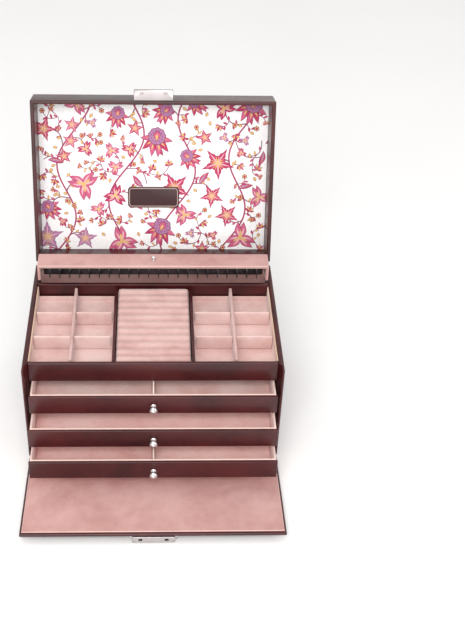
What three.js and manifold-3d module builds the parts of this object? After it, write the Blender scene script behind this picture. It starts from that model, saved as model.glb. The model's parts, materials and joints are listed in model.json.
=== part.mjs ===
// A leather jewellery case, open: the lid leans back on its piano hinge, the front flap lies down
// on its lock, and three drawers stand out in steps. Millimetres, +Z up, the front faces -Y and the
// origin is the centre of the case's underside.
//
// Depths ("d" values) are measured forward from the outer face of the rear wall, and heights from
// the underside. The lid, the flap and the handle are drawn as they are on the closed case, and
// nested groups turn them to where they rest.
import * as THREE from "three";
import { mergeVertices } from "three/addons/utils/BufferGeometryUtils.js";
import Module from "manifold-3d";

const wasm = await Module();
wasm.setup();

// ---- Driving dimensions ----

// Clearances
const GAP = 0.3; // between neighbouring pieces
const SLIDE_GAP = 1.7; // beside a drawer
const PIN_GAP = 0.35; // around a hinge pin

// Case body
const CASE_WIDTH = 270;
const CASE_DEPTH = 185;
const CASE_HEIGHT = 122;
const WALL = 5;
const BASE_THICK = 4;
const LIP_DEPTH = 13; // the side walls reach this far in front of the rail
const LIP_WALL = 2.2;
const LIP_BEVEL = 4.5;
const RAIL_THICK = 4;
const RAIL_DROP = 1; // rail top below the rim
const RAIL_LAP = 0.5; // rail's lower edge above the top drawer's front
const BOARD = 1.4; // shelves and drawer floor
const SHELF_SETBACK = 2; // shelves behind the rail's face
const BASE_SETBACK = 2; // base board behind the side walls' front edges

// Necklace well
const WELL_DEPTH = 29; // clear depth behind the partition
const PARTITION = 4;

// Drawers, numbered from the top
const DRAWER_NAMES = ["drawer_top", "drawer_middle", "drawer_bottom"];
const TOP_DRAWER_PROUD = 24.5; // its front beyond the rail's face at rest
const BOTTOM_DRAWER_HELD = 30; // how much of its length stays in the case at rest
const MIDDLE_DRAWER_SHARE = 0.54217; // of the way from the top front to the bottom one
const DRAWER_SPACING = 2; // between one front and the next
const DRAWER_LIFT = 19.6; // bottom drawer's underside above the table
const DRAWER_HEADROOM = 0.8; // between the top front and the tray
const DRAWER_REAR_PLAY = 2; // behind a closed drawer
const DRAWER_RECESS = 18; // closed fronts behind the rail's face
const FRONT_THICK = 3;
const FRONT_CHAMFER = 2;
const BOX_WALL = 2.2;
const BOX_FLOOR = 1.8;
const BOX_INSET = 1.3; // box sides behind the front's ends
const DIVIDER_THICK = 1.8;
const DIVIDER_DROP = 1.2;

// Tray on top
const TRAY_DEPTH = 22.4; // rim above what the tray's pieces stand on
const TRAY_FLOOR = 2;
const TRAY_REAR_PLAY = 2;
const TRAY_FRONT_PLAY = 1;
const RING_PAD_WIDTH = 80;
const RING_ROLLS = 11;
const RING_GROOVE = 0.42; // depth of a groove, in roll widths
const RING_BOARD = 3;
const ROLL_SEGMENTS = 6;
const INSERT_WALL = 1.5;
const INSERT_FLOOR = 1.4;
const INSERT_HEIGHT = 8;
const SIDE_LINING = 1.2;
const LONG_DIVIDER = 3;
const LONG_DIVIDER_DROP = 1.5;
const CROSS_DIVIDER = 2.4;
const CROSS_DIVIDER_DROP = 4;
const CROSS_COUNT = 2;

// Lid
const LID_OPEN = THREE.MathUtils.degToRad(107);
const LID_HEIGHT = 37.4; // shell, without its padding
const LID_WALL = 4.5;
const LID_TOP = 3;
const LID_SETBACK = 4.3; // its front behind the closed flap's face
const PAD_THICK = 3.6;
const PAD_INSET = 2.5;
const LINING_THICK = 1.2;
const PLAQUE_WIDTH = 59;
const PLAQUE_HEIGHT = 24.5;
const PLAQUE_THICK = 1.5;
const PLAQUE_RADIUS = 4;
const PLAQUE_FROM_HINGE = 68.3;

// Piano hinges
const KNUCKLE_R = 1.8;
const PIN_R = 0.75;
const LEAF = 0.8;
const LID_LEAF_HEIGHT = 12;
const FLAP_LEAF_HEIGHT = 3.5;
const LEAF_OFF = 0.6; // between a knuckle and its leaf
const TAB_SUNK = 0.2; // a tab's lap into the leaf
const HINGE_INSET = 9; // at each end of the hinge
const KNUCKLES = 9;
const KNUCKLE_GAP = 0.4;
const ROUND = 14; // sides of a knuckle or a knob

// Flap
const FLAP_SIDE_INSET = 1.2; // its sides inside the case's
const FLAP_DROP = 2; // its top edge below the rim when closed
const FLAP_PANEL = 3.4;
const FLAP_LINING = 1;
const FLAP_EDGE = 2.2; // leather edge round the lining
const FLAP_AXIS_IN = 1.9; // hinge axis behind the flap's outer face
const FLAP_AXIS_HEIGHT = 2.1;
const TABLE_GAP = 0.1; // lock above the table

// Lock and hasp
const LOCK_WIDTH = 43;
const LOCK_HEIGHT = 20;
const LOCK_THICK = 7;
const LOCK_PROUD = 0.8; // lock's top above the flap's edge
const HASP_HEIGHT = 13;
const HASP_BEVEL = 4.5;
const HASP_BEVEL_DROP = 6.3;
const CATCH_X = 13.1;
const CATCH_WIDTH = 2.6;
const CATCH_THICK = 1.6;
const CATCH_LENGTH = 5;
const CATCH_PLACE = 3.8; // from the lock's back to the middle of a catch
const CATCH_PLAY = 0.6;
const BUTTON_HEIGHT = 8;
const BUTTON_DEPTH = 4.6;
const BUTTON_LENGTH = 7;
const BUTTON_OUT = 3;
const BUTTON_TRAVEL = 2;
const PLUG_R = 3.4;
const PLUG_THICK = 2.2;
const PLUG_GAP = 0.4;
const PLUG_PROUD = 0.3;
const PLUG_RISE = 7; // above the lock's lower edge
const BUTTON_RISE = 11;
const PLUG_SIDES = 20;
const KEYWAY = { wide: 1, high: 4, deep: 1.4 };

// Handle
const POST_X = 60;
const POST_HEIGHT = 10; // swivel axis above the padding
const POST_R = 2.2;
const FLANGE_R = 5.5;
const FLANGE_THICK = 1.2;
const SWIVEL_R = 1.3;
const LINK_THICK = 2.6;
const LINK_BAR_R = 1.3;
const LINK_RISE = 7; // strap bar above the swivel axis
const LINK_ARM = 2;
const STRAP_WIDTH = 16;
const STRAP_END_WIDTH = 12;
const STRAP_THICK = 4.2;
const STRAP_RISE = 25; // middle of the strap above its end bars
const ARCH_FULLNESS = 0.8; // 1 is a sine arch, less is squarer
const LOOP_R = 3.8;
const LOOP_PLAY = 0.5; // round the link's bar

// Necklace holder
const HOLDER_HEADROOM = 7.2; // between its top and the closed lid's lining
const HOLDER_OVERHANG = 0.4; // its front beyond the partition's
const HOLDER_REAR_GAP = 9.5; // between the rear wall and its back
const HOLDER_PLAY = 1; // at each end
const HOLDER_WALL = 3;
const HOLDER_BACK = 2;
const HOLDER_MOUTH = 6; // cheeks end this far above the rim
const HOOK_PITCH = 11;
const HOOK_RAIL_END = 2; // rail beyond the outermost hooks' pitch
const HOOK_RAIL_HEIGHT = 9;
const HOOK_RAIL_THICK = 2;
const HOOK_WIRE = 1;
const HOOK_DROP = 5;
const HOOK_REACH = 3;
const HOOK_INSET = 0.5; // hook tips behind the hood's front
const HOOK_TIP = 3.5; // height of a hook's tip above its bend
const HOOK_BALL_R = 1.1;

// Knobs
const KNOB_R = 4.5;
const KNOB_LENGTH = 10.3;
const KNOB_NECK_R = 1.8;
const KNOB_FLANGE_R = 3;
const KNOB_FLANGE = 0.8; // thickness of the knob's foot
const HOLDER_KNOB_SCALE = 0.58;
const HOLDER_KNOB_BACK = 11; // behind the hood's front

// ---- Places worked out from them ----

const REAR = CASE_DEPTH / 2;
const HALF = CASE_WIDTH / 2;
const INNER = HALF - WALL;
const BASE_FRONT = CASE_DEPTH - BASE_SETBACK;
const RAIL_FACE = CASE_DEPTH - LIP_DEPTH;
const RAIL_BACK = RAIL_FACE - RAIL_THICK;
const FRONTS_CLOSED = RAIL_FACE - DRAWER_RECESS;
const PARTITION_BACK = WALL + WELL_DEPTH;
const PARTITION_FRONT = PARTITION_BACK + PARTITION;
const TRAY_BASE = CASE_HEIGHT - TRAY_DEPTH;
const TRAY_BOTTOM = TRAY_BASE - GAP - TRAY_FLOOR;
const TRAY_REAR = PARTITION_FRONT + TRAY_REAR_PLAY;
const TRAY_FRONT = RAIL_BACK - TRAY_FRONT_PLAY;
const DRAWERS_TOP = TRAY_BOTTOM - DRAWER_HEADROOM;
const DRAWER_PITCH = (DRAWERS_TOP - DRAWER_LIFT + DRAWER_SPACING) / DRAWER_NAMES.length;
const DRAWER_FRONT_HEIGHT = DRAWER_PITCH - DRAWER_SPACING;
const DRAWER_LENGTH = FRONTS_CLOSED - PARTITION_FRONT - DRAWER_REAR_PLAY;
const TOP_OUT = DRAWER_RECESS + TOP_DRAWER_PROUD;
const BOTTOM_OUT = DRAWER_LENGTH - BOTTOM_DRAWER_HELD;
const MIDDLE_OUT = TOP_OUT + (BOTTOM_OUT - TOP_OUT) * MIDDLE_DRAWER_SHARE;
const DRAWER_OUT = [TOP_OUT, MIDDLE_OUT, BOTTOM_OUT]; // how far each one stands out at rest
const RING_BOARD_OUT = RING_PAD_WIDTH / 2 + GAP + RING_BOARD;
const INSERT_IN = RING_BOARD_OUT + GAP;
const INSERT_OUT = INNER - 2 * GAP;
const LID_BOTTOM = CASE_HEIGHT + GAP;
const LID_SHELL_TOP = LID_BOTTOM + LID_HEIGHT;
const PAD_TOP = LID_SHELL_TOP + GAP + PAD_THICK;
const LINING_BOTTOM = LID_SHELL_TOP - LID_TOP - GAP - LINING_THICK;
const HINGE_LENGTH = CASE_WIDTH - 2 * HINGE_INSET;
const HINGE_OFF = KNUCKLE_R + GAP;
const LID_AXIS = { d: -HINGE_OFF, z: CASE_HEIGHT + GAP / 2 };
const FLAP_FACE = CASE_DEPTH + GAP + FLAP_LINING + GAP + FLAP_PANEL; // outer face when closed
const FLAP_WIDTH = CASE_WIDTH - 2 * FLAP_SIDE_INSET;
const FLAP_TIP = CASE_HEIGHT - FLAP_DROP;
const LID_DEPTH = FLAP_FACE - LID_SETBACK;
const FLAP_AXIS = { d: FLAP_FACE - FLAP_AXIS_IN, z: FLAP_AXIS_HEIGHT };
const LOCK_BACK = FLAP_FACE + GAP;
const LOCK_FACE = LOCK_BACK + LOCK_THICK;
const LOCK_TOP = FLAP_TIP + LOCK_PROUD;
const LOCK_BOTTOM = LOCK_TOP - LOCK_HEIGHT;
const CATCH_D = LOCK_BACK + CATCH_PLACE;
const POST_D = LID_DEPTH / 2;
const SWIVEL = { d: POST_D, z: PAD_TOP + POST_HEIGHT };
const HOLDER_TOP = LINING_BOTTOM - HOLDER_HEADROOM;
const HOLDER_REAR = WALL + HOLDER_REAR_GAP;
const HOLDER_FRONT = PARTITION_FRONT + HOLDER_OVERHANG;
const HOLDER_WIDTH = 2 * (INNER - HOLDER_PLAY);
const HOOK_SPAN = HOLDER_WIDTH - 2 * (HOLDER_WALL + HOOK_RAIL_END);
const HOOKS = Math.floor(HOOK_SPAN / HOOK_PITCH);

// The open flap leans on the lower edge of its lock, which stands TABLE_GAP above the table.
const lockReach = LOCK_BOTTOM - FLAP_AXIS.z;
const lockStand = LOCK_FACE - FLAP_AXIS.d;
const FLAP_LEAN =
  Math.atan2(lockStand, lockReach) -
  Math.asin((FLAP_AXIS.z - TABLE_GAP) / Math.hypot(lockStand, lockReach));
const FLAP_OPEN = Math.PI / 2 - FLAP_LEAN;

// ---- Materials ----

function material(color, roughness, metalness = 0) {
  return new THREE.MeshStandardMaterial({ color, roughness, metalness });
}

const leather = material(0x4a151b, 0.3);
const suede = material(0xd08f8c, 0.9);
const paleSuede = material(0xe8c4bc, 0.85);
const printed = material(0xe9dfe2, 0.8);
const nickel = material(0xb9b4b2, 0.35, 1);
const chrome = material(0xd8d8da, 0.12, 1);
const steel = material(0x8d8c8b, 0.4, 1);
const wood = material(0x6d4a38, 0.6);
const blackRail = material(0x1b1413, 0.45);

// ---- Shapes ----

function place(geometry, right, up, out, x, y, z) {
  const frame = new THREE.Matrix4().makeBasis(right, up, out).setPosition(x, y, z);
  return geometry.applyMatrix4(frame);
}

const X = new THREE.Vector3(1, 0, 0);
const Y = new THREE.Vector3(0, 1, 0);
const Z = new THREE.Vector3(0, 0, 1);
const FORWARD = Y.clone().negate();
const LEFTWARD = X.clone().negate();
const DOWN = Z.clone().negate();

function extruded(shape, depth) {
  return new THREE.ExtrudeGeometry(shape, { depth, bevelEnabled: false, curveSegments: 5 });
}

// A profile of (depth, height) points, from x0 to x1.
function acrossWidth(shape, x0, x1) {
  return place(extruded(shape, x1 - x0), FORWARD, Z, LEFTWARD, x1, REAR, 0);
}

// A profile of (x, height) points, from depth d0 to d1.
function acrossDepth(shape, d0, d1) {
  return place(extruded(shape, d1 - d0), X, Z, FORWARD, 0, REAR - d0, 0);
}

// A profile of (x, depth) points, from height z0 to z1.
function acrossHeight(shape, z0, z1) {
  return place(extruded(shape, z1 - z0), X, FORWARD, DOWN, 0, REAR, z1);
}

function outline(points) {
  return new THREE.Shape(points.map(([u, v]) => new THREE.Vector2(u, v)));
}

function block([x0, x1], [d0, d1], [z0, z1]) {
  const geometry = new THREE.BoxGeometry(x1 - x0, d1 - d0, z1 - z0);
  return geometry.translate((x0 + x1) / 2, REAR - (d0 + d1) / 2, (z0 + z1) / 2);
}

// A regular prism along X, Y or Z with its flats' corners at radius r.
function rod(axis, r, from, to, [a, b], sides = ROUND) {
  const geometry = new THREE.CylinderGeometry(r, r, to - from, sides);
  const middle = (from + to) / 2;
  if (axis === "x") return geometry.rotateZ(Math.PI / 2).translate(middle, REAR - a, b);
  if (axis === "d") return geometry.translate(a, REAR - middle, b);
  return geometry.rotateX(Math.PI / 2).translate(a, REAR - b, middle);
}

function toSolid(geometry) {
  const bare = geometry.index ? geometry.toNonIndexed() : geometry.clone();
  bare.deleteAttribute("normal");
  bare.deleteAttribute("uv");
  const merged = mergeVertices(bare, 1e-4);
  return new wasm.Manifold(
    new wasm.Mesh({
      numProp: 3,
      vertProperties: new Float32Array(merged.attributes.position.array),
      triVerts: new Uint32Array(merged.index.array),
    }),
  );
}

function toGeometry(solid) {
  const { vertProperties, triVerts } = solid.getMesh();
  const geometry = new THREE.BufferGeometry();
  geometry.setAttribute("position", new THREE.BufferAttribute(vertProperties, 3));
  geometry.setIndex(new THREE.BufferAttribute(triVerts, 1));
  geometry.computeVertexNormals();
  return geometry;
}

function joined(...geometries) {
  return toGeometry(geometries.map(toSolid).reduce((sum, next) => sum.add(next)));
}

function cut(geometry, ...tools) {
  const rest = tools.map(toSolid).reduce((solid, tool) => solid.subtract(tool), toSolid(geometry));
  return toGeometry(rest);
}

function piece(name, geometry, finish) {
  const mesh = new THREE.Mesh(geometry, finish.clone());
  mesh.name = name;
  return mesh;
}

const SIDES = [
  ["left", -1],
  ["right", 1],
];

// A block given by its distances out from the middle, on one side of the case.
function sideBlock(sign, [x0, x1], depths, heights) {
  return block([Math.min(sign * x0, sign * x1), Math.max(sign * x0, sign * x1)], depths, heights);
}

// ---- Case body ----

function sideWall(sign) {
  const bevelled = LIP_BEVEL + RAIL_FACE;
  const plan = [
    [HALF, 0],
    [HALF, CASE_DEPTH],
    [HALF - LIP_WALL, CASE_DEPTH],
    [HALF - LIP_WALL, bevelled],
    [INNER, RAIL_FACE],
    [INNER, 0],
  ];
  return acrossHeight(outline(plan.map(([x, d]) => [sign * x, d])), 0, CASE_HEIGHT);
}

// A board between the side walls.
function crossBoard(depths, heights) {
  return block([-INNER + GAP, INNER - GAP], depths, heights);
}

function caseBoards() {
  const shelfDepths = [PARTITION_FRONT + GAP, RAIL_FACE - SHELF_SETBACK];
  const shelfGap = (DRAWER_PITCH - DRAWER_FRONT_HEIGHT - BOARD) / 2;
  const boards = [
    piece("base_board", crossBoard([WALL + GAP, BASE_FRONT], [0, BASE_THICK]), leather),
    piece("rear_wall", crossBoard([0, WALL], [0, CASE_HEIGHT]), leather),
    piece(
      "well_partition",
      crossBoard([PARTITION_BACK, PARTITION_FRONT], [BASE_THICK + GAP, CASE_HEIGHT]),
      leather,
    ),
    piece(
      "front_rail",
      crossBoard([RAIL_BACK, RAIL_FACE], [DRAWERS_TOP + RAIL_LAP, CASE_HEIGHT - RAIL_DROP]),
      leather,
    ),
    piece(
      "plinth_board",
      crossBoard([RAIL_BACK, RAIL_FACE], [BASE_THICK + GAP, DRAWER_LIFT - BOARD - 2 * GAP]),
      leather,
    ),
    piece(
      "drawer_floor",
      crossBoard(shelfDepths, [DRAWER_LIFT - BOARD - GAP, DRAWER_LIFT - GAP]),
      wood,
    ),
    piece(
      "tray_floor",
      crossBoard([PARTITION_FRONT + GAP, RAIL_BACK - GAP], [TRAY_BOTTOM, TRAY_BOTTOM + TRAY_FLOOR]),
      wood,
    ),
  ];
  ["drawer_shelf_lower", "drawer_shelf_upper"].forEach((name, level) => {
    const under = DRAWER_LIFT + level * DRAWER_PITCH + DRAWER_FRONT_HEIGHT + shelfGap;
    boards.push(piece(name, crossBoard(shelfDepths, [under, under + BOARD]), wood));
  });
  for (const [side, sign] of SIDES)
    boards.push(piece(`side_wall_${side}`, sideWall(sign), leather));
  return boards;
}

// ---- Tray ----

// Rolls lie side by side along the case's width, and rings are held between them.
function ringPad() {
  const rear = TRAY_REAR;
  const pitch = (TRAY_FRONT - rear) / RING_ROLLS;
  const crown = CASE_HEIGHT - RAIL_DROP;
  const groove = crown - pitch * RING_GROOVE;
  const points = [
    [rear, TRAY_BASE],
    [TRAY_FRONT, TRAY_BASE],
  ];
  for (let step = RING_ROLLS * ROLL_SEGMENTS; step >= 0; step--) {
    const phase = (step % ROLL_SEGMENTS) / ROLL_SEGMENTS;
    const height = groove + (crown - groove) * Math.sin(Math.PI * phase);
    points.push([rear + (step * pitch) / ROLL_SEGMENTS, height]);
  }
  return acrossWidth(outline(points), -RING_PAD_WIDTH / 2, RING_PAD_WIDTH / 2);
}

function insertPan(sign) {
  const top = TRAY_BASE + INSERT_HEIGHT;
  const body = sideBlock(sign, [INSERT_IN, INSERT_OUT], [TRAY_REAR, TRAY_FRONT], [TRAY_BASE, top]);
  const hollow = sideBlock(
    sign,
    [INSERT_IN + INSERT_WALL, INSERT_OUT - INSERT_WALL],
    [TRAY_REAR + INSERT_WALL, TRAY_FRONT - INSERT_WALL],
    [TRAY_BASE + INSERT_FLOOR, top + 1],
  );
  return cut(body, hollow);
}

// The dividers slot into each other: half of each slot is in the long one, half in the short one.
const DIVIDER_FOOT = TRAY_BASE + INSERT_FLOOR + GAP;
const CROSS_TOP = CASE_HEIGHT - CROSS_DIVIDER_DROP;
const LAP = (DIVIDER_FOOT + CROSS_TOP) / 2;
const DIVIDER_REAR = TRAY_REAR + INSERT_WALL + GAP;
const DIVIDER_FRONT = TRAY_FRONT - INSERT_WALL - GAP;
const LONG_X = (INSERT_IN + INSERT_OUT) / 2;

function crossDepthOf(index) {
  return DIVIDER_REAR + ((DIVIDER_FRONT - DIVIDER_REAR) * (index + 1)) / (CROSS_COUNT + 1);
}

function longDivider(sign) {
  const xs = [LONG_X - LONG_DIVIDER / 2, LONG_X + LONG_DIVIDER / 2];
  const heights = [DIVIDER_FOOT, CASE_HEIGHT - LONG_DIVIDER_DROP];
  const board = sideBlock(sign, xs, [DIVIDER_REAR, DIVIDER_FRONT], heights);
  const slots = Array.from({ length: CROSS_COUNT }, (_, index) => {
    const d = crossDepthOf(index);
    const half = CROSS_DIVIDER / 2 + GAP;
    const through = [xs[0] - 1, xs[1] + 1];
    return sideBlock(sign, through, [d - half, d + half], [DIVIDER_FOOT - 1, LAP + GAP]);
  });
  return cut(board, ...slots);
}

function crossDivider(sign, index) {
  const d = crossDepthOf(index);
  const depths = [d - CROSS_DIVIDER / 2, d + CROSS_DIVIDER / 2];
  const ends = [INSERT_IN + INSERT_WALL + GAP, INSERT_OUT - INSERT_WALL - GAP];
  const board = sideBlock(sign, ends, depths, [DIVIDER_FOOT, CROSS_TOP]);
  const half = LONG_DIVIDER / 2 + GAP;
  const slot = sideBlock(
    sign,
    [LONG_X - half, LONG_X + half],
    [depths[0] - 1, depths[1] + 1],
    [LAP, CROSS_TOP + 1],
  );
  return cut(board, slot);
}

function tray() {
  const pieces = [piece("ring_pad", ringPad(), suede)];
  for (const [side, sign] of SIDES) {
    const board = [RING_PAD_WIDTH / 2 + GAP, RING_BOARD_OUT];
    const boardHeights = [TRAY_BASE, CASE_HEIGHT - RAIL_DROP];
    const strip = [INNER - GAP - SIDE_LINING, INNER - GAP];
    const stripHeights = [TRAY_BASE + INSERT_HEIGHT + GAP, CASE_HEIGHT - RAIL_DROP];
    const depths = [TRAY_REAR, TRAY_FRONT];
    pieces.push(
      piece(`ring_frame_${side}`, sideBlock(sign, board, depths, boardHeights), leather),
      piece(`insert_${side}`, insertPan(sign), suede),
      piece(`side_lining_${side}`, sideBlock(sign, strip, depths, stripHeights), paleSuede),
      piece(`long_divider_${side}`, longDivider(sign), paleSuede),
    );
    ["rear", "front"].forEach((row, index) =>
      pieces.push(piece(`cross_divider_${side}_${row}`, crossDivider(sign, index), paleSuede)),
    );
  }
  return pieces;
}

// ---- Drawers ----

// A turned knob that points forward from depth 0, on the axis x = 0, height 0.
function knobProfile(scale) {
  const ball = new THREE.Vector2(0, (KNOB_LENGTH - KNOB_R) * scale);
  const points = [
    [0, 0],
    [KNOB_FLANGE_R, 0],
    [KNOB_FLANGE_R, KNOB_FLANGE],
    [KNOB_NECK_R, 2 * KNOB_FLANGE],
  ].map(([r, along]) => new THREE.Vector2(r * scale, along * scale));
  const steps = 6;
  for (let step = 1; step <= steps; step++) {
    const angle = Math.PI * (0.86 * (step / steps) - 0.36);
    const radius = step === steps ? 0 : KNOB_R * scale * Math.cos(angle);
    points.push(new THREE.Vector2(radius, ball.y + KNOB_R * scale * Math.sin(angle)));
  }
  return points;
}

function knob(scale = 1) {
  return new THREE.LatheGeometry(knobProfile(scale), ROUND);
}

function drawerFront(d, z) {
  const profile = outline([
    [d - FRONT_THICK, z],
    [d - FRONT_CHAMFER, z],
    [d, z + FRONT_CHAMFER],
    [d, z + DRAWER_FRONT_HEIGHT],
    [d - FRONT_THICK, z + DRAWER_FRONT_HEIGHT],
  ]);
  return acrossWidth(profile, -INNER + SLIDE_GAP, INNER - SLIDE_GAP);
}

function drawer(name, index) {
  const d = FRONTS_CLOSED + DRAWER_OUT[index];
  const z = DRAWER_LIFT + (DRAWER_NAMES.length - 1 - index) * DRAWER_PITCH;
  const half = INNER - SLIDE_GAP - BOX_INSET;
  const depths = [d - DRAWER_LENGTH, d - FRONT_THICK - GAP];
  const top = z + DRAWER_FRONT_HEIGHT - GAP;
  const shell = block([-half, half], depths, [z + GAP, top]);
  const inside = [depths[0] + BOX_WALL, depths[1] - BOX_WALL];
  const floor = z + GAP + BOX_FLOOR;
  const hollow = block([-half + BOX_WALL, half - BOX_WALL], inside, [floor, top + 1]);
  const turned = knob();
  place(turned, X, FORWARD, Z.clone().negate(), 0, REAR - d - GAP, z + DRAWER_FRONT_HEIGHT / 2);
  const pieces = [
    piece(`${name}_box`, cut(shell, hollow), suede),
    piece(`${name}_front`, drawerFront(d, z), leather),
    piece(`${name}_knob`, turned, chrome),
  ];
  if (index !== 1) {
    const wall = [-DIVIDER_THICK / 2, DIVIDER_THICK / 2];
    const run = [inside[0] + GAP, inside[1] - GAP];
    const board = block(wall, run, [floor + GAP, top - DIVIDER_DROP]);
    pieces.push(piece(`${name}_divider`, board, paleSuede));
  }
  return pieces;
}

// ---- Necklace holder ----

// A hood of a top board, a back that stands in the well and two cheeks.
function holderHood() {
  const half = HOLDER_WIDTH / 2;
  const depths = [HOLDER_REAR, HOLDER_FRONT];
  const cheekHeights = [CASE_HEIGHT + HOLDER_MOUTH, HOLDER_TOP];
  return joined(
    block([-half, half], depths, [HOLDER_TOP - HOLDER_WALL, HOLDER_TOP]),
    block([-half, half], [HOLDER_REAR, HOLDER_REAR + HOLDER_BACK], [BASE_THICK + GAP, HOLDER_TOP]),
    block([-half, -half + HOLDER_WALL], depths, cheekHeights),
    block([half - HOLDER_WALL, half], depths, cheekHeights),
  );
}

// A J of square wire: down in front of the rail, forward, and up to a ball.
function hook(x, railFront, railTop) {
  const half = HOOK_WIRE / 2;
  const xs = [x - half, x + half];
  const bottom = railTop - HOOK_RAIL_HEIGHT - HOOK_DROP;
  const tip = [railFront + HOOK_REACH - HOOK_WIRE, railFront + HOOK_REACH];
  const ball = new THREE.OctahedronGeometry(HOOK_BALL_R, 0);
  ball.translate(x, REAR - railFront - HOOK_REACH + half, bottom + HOOK_TIP);
  return [
    block(xs, [railFront - half, railFront + half], [bottom, railTop - 2]),
    block(xs, [railFront - half, railFront + HOOK_REACH], [bottom, bottom + HOOK_WIRE]),
    block(xs, tip, [bottom, bottom + HOOK_TIP]),
    ball,
  ];
}

function hookRail() {
  const half = (HOOKS * HOOK_PITCH) / 2 + HOOK_RAIL_END;
  const railTop = HOLDER_TOP - HOLDER_WALL - GAP;
  const railFront = HOLDER_FRONT - HOOK_REACH - HOOK_INSET;
  const depths = [railFront - HOOK_RAIL_THICK, railFront];
  const parts = [block([-half, half], depths, [railTop - HOOK_RAIL_HEIGHT, railTop])];
  for (let index = 0; index < HOOKS; index++)
    parts.push(...hook((index - (HOOKS - 1) / 2) * HOOK_PITCH, railFront, railTop));
  return joined(...parts);
}

function necklaceHolder() {
  const lift = knob(HOLDER_KNOB_SCALE);
  place(lift, X, Z, FORWARD, 0, REAR - HOLDER_FRONT + HOLDER_KNOB_BACK, HOLDER_TOP + GAP);
  return [
    piece("holder_hood", holderHood(), suede),
    piece("hook_rail", hookRail(), blackRail),
    piece("holder_knob", lift, chrome),
  ];
}

// ---- Piano hinges ----

// The knuckles of one leaf, every second one, joined to their leaf by tabs and bored for the pin.
function hingeLeaf(axis, first, leaf, tabOf) {
  const pitch = HINGE_LENGTH / KNUCKLES;
  const parts = [leaf];
  for (let index = first; index < KNUCKLES; index += 2) {
    const from = -HINGE_LENGTH / 2 + index * pitch + KNUCKLE_GAP / 2;
    const to = from + pitch - KNUCKLE_GAP;
    parts.push(rod("x", KNUCKLE_R, from, to, [axis.d, axis.z]), tabOf([from, to]));
  }
  const reach = HINGE_LENGTH / 2 + 1;
  const bore = rod("x", PIN_R + PIN_GAP, -reach, reach, [axis.d, axis.z]);
  return cut(joined(...parts), bore);
}

const HINGE_SPAN = [-HINGE_LENGTH / 2, HINGE_LENGTH / 2];

function hingePin(axis) {
  return rod("x", PIN_R, ...HINGE_SPAN, [axis.d, axis.z], 10);
}

// A leaf flat on the rear face, above or below the lid's axis.
function lidHingeLeaf(first, direction) {
  const near = LID_AXIS.z + direction * (KNUCKLE_R + LEAF_OFF);
  const far = near + direction * LID_LEAF_HEIGHT;
  const depths = [-GAP - LEAF, -GAP];
  const heights = [Math.min(near, far), Math.max(near, far)];
  const reach = LID_AXIS.z + direction * LEAF_OFF;
  const tabHeights = [Math.min(near, reach) - TAB_SUNK, Math.max(near, reach) + TAB_SUNK];
  return hingeLeaf(LID_AXIS, first, block(HINGE_SPAN, depths, heights), (xs) =>
    block(xs, depths, tabHeights),
  );
}

// Behind the flap's axis: a leaf on the front edge of the base board.
function flapHingeCaseLeaf() {
  const d0 = BASE_FRONT + GAP;
  const leaf = block(HINGE_SPAN, [d0, d0 + LEAF], [GAP, GAP + FLAP_LEAF_HEIGHT]);
  const z = FLAP_AXIS.z;
  return hingeLeaf(FLAP_AXIS, 0, leaf, (xs) =>
    block(xs, [d0, FLAP_AXIS.d - PIN_R], [z - LEAF / 2, z + LEAF / 2]),
  );
}

// Above the flap's axis: a leaf under the flap's lower end.
function flapHingeFlapLeaf() {
  const z0 = FLAP_AXIS.z + KNUCKLE_R + GAP;
  const d = FLAP_AXIS.d;
  const leaf = block(HINGE_SPAN, [d - 2.4, FLAP_FACE - 0.4], [z0, z0 + LEAF]);
  return hingeLeaf(FLAP_AXIS, 1, leaf, (xs) =>
    block(xs, [d - LEAF / 2, d + LEAF / 2], [FLAP_AXIS.z, z0 + LEAF / 2]),
  );
}

// ---- Lid, as it lies closed ----

function lidShell() {
  const outer = block([-HALF, HALF], [0, LID_DEPTH], [LID_BOTTOM, LID_SHELL_TOP]);
  const inner = block(
    [-HALF + LID_WALL, HALF - LID_WALL],
    [LID_WALL, LID_DEPTH - LID_WALL],
    [LID_BOTTOM - 1, LID_SHELL_TOP - LID_TOP],
  );
  return cut(outer, inner);
}

// A slab whose upper edges are bevelled all round.
function lidPad() {
  const bottom = LID_SHELL_TOP + GAP;
  const half = HALF - PAD_INSET;
  const bevel = PAD_THICK * 0.7;
  const across = outline([
    [-half, bottom],
    [half, bottom],
    [half, PAD_TOP - bevel],
    [half - bevel, PAD_TOP],
    [-half + bevel, PAD_TOP],
    [-half, PAD_TOP - bevel],
  ]);
  const d0 = PAD_INSET;
  const d1 = LID_DEPTH - PAD_INSET;
  const along = outline([
    [d0, bottom],
    [d1, bottom],
    [d1, PAD_TOP - bevel],
    [d1 - bevel, PAD_TOP],
    [d0 + bevel, PAD_TOP],
    [d0, PAD_TOP - bevel],
  ]);
  const slab = toSolid(acrossDepth(across, d0, d1));
  return toGeometry(slab.intersect(toSolid(acrossWidth(along, -half, half))));
}

function plaque() {
  const w = PLAQUE_WIDTH / 2 - PLAQUE_RADIUS;
  const h = PLAQUE_HEIGHT / 2 - PLAQUE_RADIUS;
  const shape = new THREE.Shape();
  shape.absarc(w, PLAQUE_FROM_HINGE + h, PLAQUE_RADIUS, 0, Math.PI / 2);
  shape.absarc(-w, PLAQUE_FROM_HINGE + h, PLAQUE_RADIUS, Math.PI / 2, Math.PI);
  shape.absarc(-w, PLAQUE_FROM_HINGE - h, PLAQUE_RADIUS, Math.PI, Math.PI * 1.5);
  shape.absarc(w, PLAQUE_FROM_HINGE - h, PLAQUE_RADIUS, Math.PI * 1.5, Math.PI * 2);
  const top = LINING_BOTTOM - GAP;
  return acrossHeight(shape, top - PLAQUE_THICK, top);
}

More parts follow.
